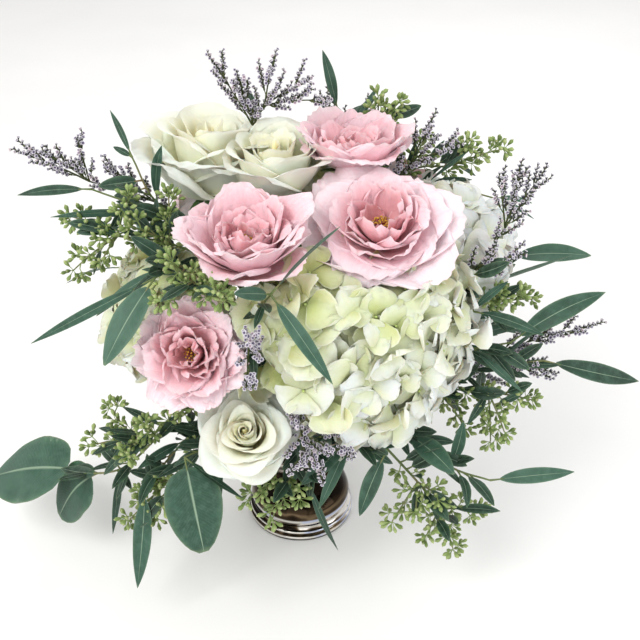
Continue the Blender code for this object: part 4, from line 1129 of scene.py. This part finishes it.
def add_leaf(piece, rng, start, tip, width, face, age_and_shade, petiole=0.12, finish=0, rows=16,
             v=LEAF_COLUMNS):
    """Leaf with a folded blade, a raised midrib and a short stalk."""
    length = np.linalg.norm(tip - start)
    true_width = max(width, NARROWEST_LEAF if length > EDGE_ON_LENGTH else width)
    roll = math.acos(min(1.0, width / true_width)) + rng.normal(0.0, 0.16)
    roundness = smoothstep(0.26, 0.6, true_width / length)
    u = np.linspace(0.0, 1.0, rows)
    share = petiole + (1.0 - petiole) * u
    line = shoot_line(start, tip, face, share)
    sway = rng.normal(0.0, 0.025) * length
    travel = units(np.gradient(line, axis=0))
    across = units(np.cross(travel, face))
    normal = np.cross(across, travel)
    line = line + across * (sway * np.sin(math.pi * share))[:, None]
    turn = roll + rng.normal(0.0, 0.25) * (u - 0.4)
    side = across * np.cos(turn)[:, None] + normal * np.sin(turn)[:, None]
    up = normal * np.cos(turn)[:, None] - across * np.sin(turn)[:, None]
    lance = (u + 0.015) ** 0.72 * (1.0 - u) ** 0.92 / 0.497
    oval = np.sqrt(np.clip(1.0 - (2.0 * (u * 0.985 + 0.005) ** 0.9 - 1.0) ** 2, 0.0, 1.0)) ** 0.9
    oval = oval * (1.03 - 0.26 * u ** 3)
    half = 0.5 * true_width * (lance * (1.0 - roundness) + oval * roundness)
    half = np.maximum(half, THINNEST_HALF)
    fold = rng.uniform(0.1, 0.26) * (1.0 - 0.6 * roundness)
    phase = rng.uniform(0.0, FULL_TURN, 2)
    ripple = 0.045 * np.sin(2.6 * math.pi * u + phase[0])[:, None] * v[None, :]
    ripple = ripple + 0.02 * np.sin(6.1 * math.pi * u + phase[1])[:, None] * np.abs(v)[None, :] ** 2
    hollow = fold * np.abs(v) ** 1.1 + 0.03 * (np.abs(v) < 0.03) - 0.1 * roundness * v * v
    rise = half[:, None] * (hollow[None, :] + ripple)
    grid = (line[:, None] + side[:, None] * (half[:, None] * v[None, :])[..., None]
            + up[:, None] * rise[..., None])
    along, spread = np.meshgrid(u, v, indexing="ij")
    add_shell(piece, grid[:, ::-1], LEAF_THICKNESS, along, spread[:, ::-1], (age_and_shade, rng.random()),
              finish)
    share = np.linspace(0.0, petiole + 0.05, 5)
    stalk = shoot_line(start, tip, face, share)
    stalk = stalk + across[0] * (sway * np.sin(math.pi * share))[:, None]
    add_tube(piece, stalk, LEAF_STALK, 5, finish=1)


def sprig_route(spec):
    """Cut end in the foam, then the stem's smooth route."""
    azimuth, socket_radius, waypoints, _ = spec
    socket_radius, waypoints = metres(socket_radius, waypoints)
    end, entry, direction = stem_line(azimuth, socket_radius)
    route = catmull_rom([entry + direction * STEM_LEAD] + list(waypoints), 6)
    return np.vstack((end, entry, route))


def random_direction(rng, towards, spread):
    return unit(np.asarray(towards) + rng.normal(0.0, spread, 3))


def add_inner_leaves(piece, rng, route, count, first, last, finish=0):
    """Short dark leaves along a stem, which close the gaps between the flowers; their dark tone is painted
    shade deep in the bouquet.
    """
    for k in range(count):
        share = first + (last - first) * (k + rng.uniform(0.0, 0.9)) / count
        spot = route[int((len(route) - 1) * share)]
        out = unit(np.array((spot[0], spot[1], 0.02)))
        way = random_direction(rng, out, 0.6)
        length = rng.uniform(0.024, 0.042)
        if under_bloom(spot + way * length, INNER_LEAF_GAP):
            continue
        face = unit(face_of(spot) + rng.normal(0.0, 0.25, 3))
        # a tone from 0 to 0.25, the dark end of the leaf's ramp, is painted shade for leaves deep between
        # the flowers
        add_leaf(piece, rng, spot, spot + way * length, length * rng.uniform(0.26, 0.42), face,
                 rng.uniform(0.0, 0.25), 0.15, finish, 9, LEAF_COLUMNS[::2])


def add_umbel(piece, rng, start, way, peduncle, count):
    """Club-shaped capsules on short stalks that fan out from the end of one stalk."""
    hub = start + way * peduncle
    bend = (start + hub) * 0.5 + rng.normal(0.0, 0.0004, 3)
    add_tube(piece, (start, bend, hub), UMBEL_STALK, 4, (0.0, 0.6), reach=0.3)
    turned = facing_frame(way, rng.uniform(0.0, FULL_TURN))
    for k in range(count):
        tilt = math.radians(4.0 + 78.0 * math.sqrt((k + 0.2) / count)) + rng.normal(0.0, 0.1)
        angle = k * GOLDEN_ANGLE + rng.normal(0.0, 0.15)
        out = spoke(angle) * math.sin(tilt)
        out[2] = math.cos(tilt)
        out = turned @ out
        foot = hub + out * rng.uniform(0.0022, 0.0044)
        add_tube(piece, (hub, foot), CAPSULE_STALK, 3, (0.0, 0.7), reach=0.2)
        stamp(piece, CAPSULE, foot, facing_frame(out, rng.uniform(0.0, FULL_TURN)),
              rng.uniform(0.86, 1.14), (0.0, rng.random()))


def add_umbels(piece, rng, line, first, spacing, upward):
    """Umbels that leave a stem on alternate sides, and one at its end."""
    travel = np.gradient(line, axis=0)
    steps = np.linalg.norm(np.diff(line, axis=0), axis=1)
    place = np.concatenate(((0.0,), np.cumsum(steps)))
    length = place[-1]
    count = max(2, int(length * (1.0 - first) / spacing) + 1)
    for k, at in enumerate(np.linspace(length * first, length, count)):
        spot = np.array([np.interp(at, place, line[:, axis]) for axis in range(3)])
        onward = unit(np.array([np.interp(at, place, travel[:, axis]) for axis in range(3)]))
        aside = facing_frame(onward) @ spoke(k * GOLDEN_ANGLE + rng.normal(0.0, 0.3))
        last = k == count - 1
        way = unit(onward * (2.5 if last else 0.75) + aside + upward * 0.35)
        add_umbel(piece, rng, spot, way, 0.001 if last else rng.uniform(0.0045, 0.008),
                  int(rng.integers(6, 9)))


def add_spike(piece, rng, foot, way, length, face):
    """Comb of calyces, two rows crowded on the upper side of a branch's end."""
    rise = face * 0.2 * length
    shares = np.linspace(0.0, 1.0, 4)[:, None]
    line = foot + way * length * shares + rise * shares ** 2
    add_tube(piece, line, SPIKE_STALK, 4, finish=1)
    aside = unit(np.cross(way, face))
    count = max(6, int(length / CALYX_SPACING))
    for k in range(count):
        share = (k + 0.7) / count
        seat = foot + way * length * share + rise * share * share
        side = aside * (1.0 if k % 2 else -1.0)
        lean = random_direction(rng, way * 0.95 + face * 0.65 + side * 0.7, 0.24)
        stamp(piece, CALYX, seat, facing_frame(lean, rng.uniform(0.0, FULL_TURN)),
              rng.uniform(0.85, 1.15) * (1.08 - 0.3 * share), (0.0, rng.random()))


def add_branches(piece, rng, line, first, count, reach, face):
    """Thin bare side branches along a stem, each ending in a spike."""
    onward = unit(line[-1] - line[0])
    for k in range(count):
        share = first + (0.94 - first) * k / max(count - 1, 1)
        spot = line[int(share * (len(line) - 1))]
        aside = facing_frame(onward) @ spoke(k * GOLDEN_ANGLE + rng.normal(0.0, 0.2))
        way = unit(onward + aside * 0.8 + face * 0.45)
        bare = reach * rng.uniform(0.15, 0.4) * (1.15 - 0.6 * share)
        knee = spot + way * bare
        add_tube(piece, (spot, knee), BRANCH_STALK, 3, finish=1)
        add_spike(piece, rng, knee, unit(way + onward * 0.3), reach * rng.uniform(0.75, 1.1), face)


def add_leaf_shoot(sprig, rng, start, tip, width, face):
    """One long leaf of plain eucalyptus."""
    add_leaf(sprig, rng, start, tip, width, face, rng.uniform(0.25, 0.95))


def add_seeded_shoot(sprig, rng, start, tip, width, face):
    """One spray of seeded eucalyptus."""
    line = shoot_line(start, tip, face, np.linspace(0.0, 0.9, 7))
    add_tube(sprig, line, np.linspace(0.001, 0.0006, 7), 5, finish=1)
    add_umbels(sprig, rng, line, 0.2, UMBEL_SPACING, face)
    add_inner_leaves(sprig, rng, line, 1, 0.1, 0.5, 2)


def add_flower_shoot(sprig, rng, start, tip, width, face):
    """One branched spray of limonium."""
    line = shoot_line(start, tip, face, np.linspace(0.0, 0.72, 15))
    add_tube(sprig, line, np.linspace(0.0009, 0.0005, 15), 4, finish=1)
    count = max(4, int(np.linalg.norm(tip - start) / BRANCH_SPACING))
    add_branches(sprig, rng, line, 0.12, count, width * 1.45, face)
    add_spike(sprig, rng, line[-1], unit(tip - line[-1]), np.linalg.norm(tip - line[-1]), face)


def add_stem_leaves(sprig, rng, route):
    add_inner_leaves(sprig, rng, route, 13, 0.26, 0.9)


def add_stem_seeds(sprig, rng, route):
    add_umbels(sprig, rng, route[len(route) // 2:], 0.15, STEM_UMBEL_SPACING, face_of(route[-1]))
    add_inner_leaves(sprig, rng, route, 11, 0.26, 0.98, 2)


def add_stem_flowers(sprig, rng, route):
    outer = route[len(route) * 3 // 5:]
    add_branches(sprig, rng, outer, 0.1, 6, STEM_BRANCH_REACH, face_of(outer[0]))
    add_inner_leaves(sprig, rng, route, 10, 0.28, 0.85, 2)


# kind of sprig: its first seed, taper and sides of the stem, what adds a shoot and what grows
#                along the stem, what it is called, its materials, and the angle of a crease
KINDS = {
    "eucalyptus": (500, 0.55, 7, add_leaf_shoot, add_stem_leaves, "_foliage",
                   ("eucalyptus_leaf", "twig"), 50.0),
    "seeded": (700, 0.6, 7, add_seeded_shoot, add_stem_seeds, "_seeds",
               ("seed_capsule", "twig", "eucalyptus_leaf"), 60.0),
    "limonium": (900, 0.5, 6, add_flower_shoot, add_stem_flowers, "_flowers",
                 ("limonium_flower", "dark_stem", "eucalyptus_leaf"), 60.0),
}


def make_sprig(name, spec, number):
    """Stem with its leaves or sprays, in one piece."""
    seed, taper, sides, add_shoot, add_along_stem, ending, materials, crease = KINDS[name.split("_")[0]]
    rng = np.random.default_rng(seed + number)
    route = sprig_route(spec)
    sprig = Piece()
    add_tube(sprig, route, np.linspace(SPRIG_STEM, SPRIG_STEM * taper, len(route)), sides, finish=1)
    for start, tip, width in shoots_of(spec):
        add_shoot(sprig, rng, start, tip, width, face_of(start))
    add_along_stem(sprig, rng, route)
    sprig.build(name + ending, materials, name, crease)


# ---- the footed bowl ------------------------------------------------------------------
FOOT_RADIUS = 0.0525
NECK_RADIUS = 0.0135
SEAT_GAP = 0.0003
FOOT_HEIGHT = bowl_low.z - SEAT_GAP
RIM_RADIUS = 0.0805
RIM_HEIGHT = bowl_high.z
WALL = 0.0015
METAL_SIDES = 96
METAL_CREASE = 45.0


def make_metal(name, profile, node):
    """Piece of nickel, spun about the middle of the bowl."""
    piece = Piece()
    add_turned(piece, profile, METAL_SIDES)
    piece.build(name, ("polished_nickel",), node, METAL_CREASE)


def make_foot():
    """Bell-shaped hollow foot with two rolled steps, smoothly spun."""
    outer = [
        (FOOT_RADIUS, 0.0), (FOOT_RADIUS + 0.0005, 0.0022), (FOOT_RADIUS - 0.0004, 0.0044),
        (FOOT_RADIUS - 0.0022, 0.0056), (FOOT_RADIUS - 0.0012, 0.0074),
        (FOOT_RADIUS - 0.0014, 0.0094), (FOOT_RADIUS - 0.0036, 0.011),
        (0.048, 0.014), (0.0492, 0.02), (0.0486, 0.0265), (0.0452, 0.0335),
        (0.038, 0.04), (0.0288, 0.0446), (0.0208, 0.049), (0.0158, 0.0545),
        (NECK_RADIUS, 0.061), (0.0146, 0.068), (0.0186, 0.073), (0.024, FOOT_HEIGHT),
    ]
    inner = [
        (0.0004, 0.044), (0.018, 0.0432), (0.03, 0.0412), (0.04, 0.0352),
        (0.0462, 0.0265), (0.047, 0.013), (FOOT_RADIUS - 0.0045, 0.0),
    ]
    profile = np.vstack((catmull_rom(inner, 3), catmull_rom(outer, 4),
                         ((0.012, FOOT_HEIGHT), (0.0004, FOOT_HEIGHT))))
    make_metal("spun_foot", profile, "compote_foot")


def make_bowl():
    """Spun bowl with a rolled rim."""
    base = FOOT_HEIGHT + SEAT_GAP
    outer = [
        (0.024, base), (0.04, 0.0824 - WALL), (0.0582, 0.0934 - WALL),
        (0.0702, 0.1086), (0.0771, 0.1284), (0.0792, 0.15), (RIM_RADIUS - 0.0004, 0.1545),
        (RIM_RADIUS, 0.157), (RIM_RADIUS - 0.001, RIM_HEIGHT),
        (RIM_RADIUS - 0.0026, RIM_HEIGHT - 0.001),
    ]
    inner = [
        (0.0776, 0.15), (0.0754, 0.1286), (0.0684, 0.1094), (0.0566, 0.0944),
        (0.039, 0.0842), (0.02, 0.0832), (0.0004, 0.083),
    ]
    profile = np.vstack((((0.0004, base),), catmull_rom(outer, 4), catmull_rom(inner, 3)))
    make_metal("spun_bowl", profile, "compote_bowl")


for maker, table in ((make_rose, ROSES), (make_hydrangea, HYDRANGEAS), (make_sprig, SPRIGS)):
    for number, (name, spec) in enumerate(table.items()):
        maker(name, spec, number)
make_foot()
make_bowl()
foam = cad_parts["floral_foam"]
foam.data.materials.clear()
foam.data.materials.append(make_foam())


# ---- stage: floor, lights and camera --------------------------------------------------
VIEW_PITCH = 35.0           # how far the camera looks down, in degrees
MIDDLE = Vector((0.0, 0.0, 0.28))
WORLD_STRENGTH = 0.74
FLOOR_SIZE = 24.0
# name: place, size, power, colour
LIGHTS = {
    "key": ((-0.9, -1.0, 1.7), 1.0, 23.0, (1.0, 0.985, 0.96)),
    "fill": ((1.3, -0.8, 0.8), 1.2, 8.0, (0.95, 0.97, 1.0)),
    "front": ((-0.2, -1.7, 0.7), 1.4, 4.5, (1.0, 0.99, 0.97)),
    "back": ((0.5, 1.3, 1.5), 1.0, 10.0, (1.0, 1.0, 1.0)),
}


def make_floor():
    bpy.ops.mesh.primitive_plane_add(size=FLOOR_SIZE)
    floor = bpy.context.active_object
    floor.name = "floor"
    floor.data.materials.append(grained(
        "floor", 3.0, 4.0, ((0.3, 0.86, 0.86, 0.86), (0.7, 0.9, 0.9, 0.9)),
        Roughness=0.85, Specular_IOR_Level=0.2))


def add_light(name, place, size, energy, colour):
    data = bpy.data.lights.new(name, "AREA")
    data.shape = "SQUARE"
    data.size = size
    data.energy = energy
    data.color = colour
    light = bpy.data.objects.new(name, data)
    light.location = place
    light.rotation_euler = (MIDDLE - Vector(place)).to_track_quat("-Z", "Y").to_euler()
    bpy.context.scene.collection.objects.link(light)


def make_world():
    world = bpy.data.worlds.new("soft_studio")
    world.use_nodes = True
    background = world.node_tree.nodes["Background"]
    background.inputs["Color"].default_value = (1.0, 0.99, 0.97, 1.0)
    background.inputs["Strength"].default_value = WORLD_STRENGTH
    bpy.context.scene.world = world


def make_camera():
    """Camera from the front, looking down on the blooms."""
    data = bpy.data.cameras.new("camera")
    data.sensor_width = 36.0
    data.lens = 55.4
    camera = bpy.data.objects.new("camera", data)
    camera.location = (0.02, -0.726, 0.738)
    camera.rotation_euler = (math.radians(90.0 - VIEW_PITCH), 0.0, 0.0)
    bpy.context.scene.collection.objects.link(camera)
    bpy.context.scene.camera = camera


make_floor()
make_world()
for name, light in LIGHTS.items():
    add_light(name, *light)
make_camera()
bpy.context.scene.view_settings.view_transform = "Standard"
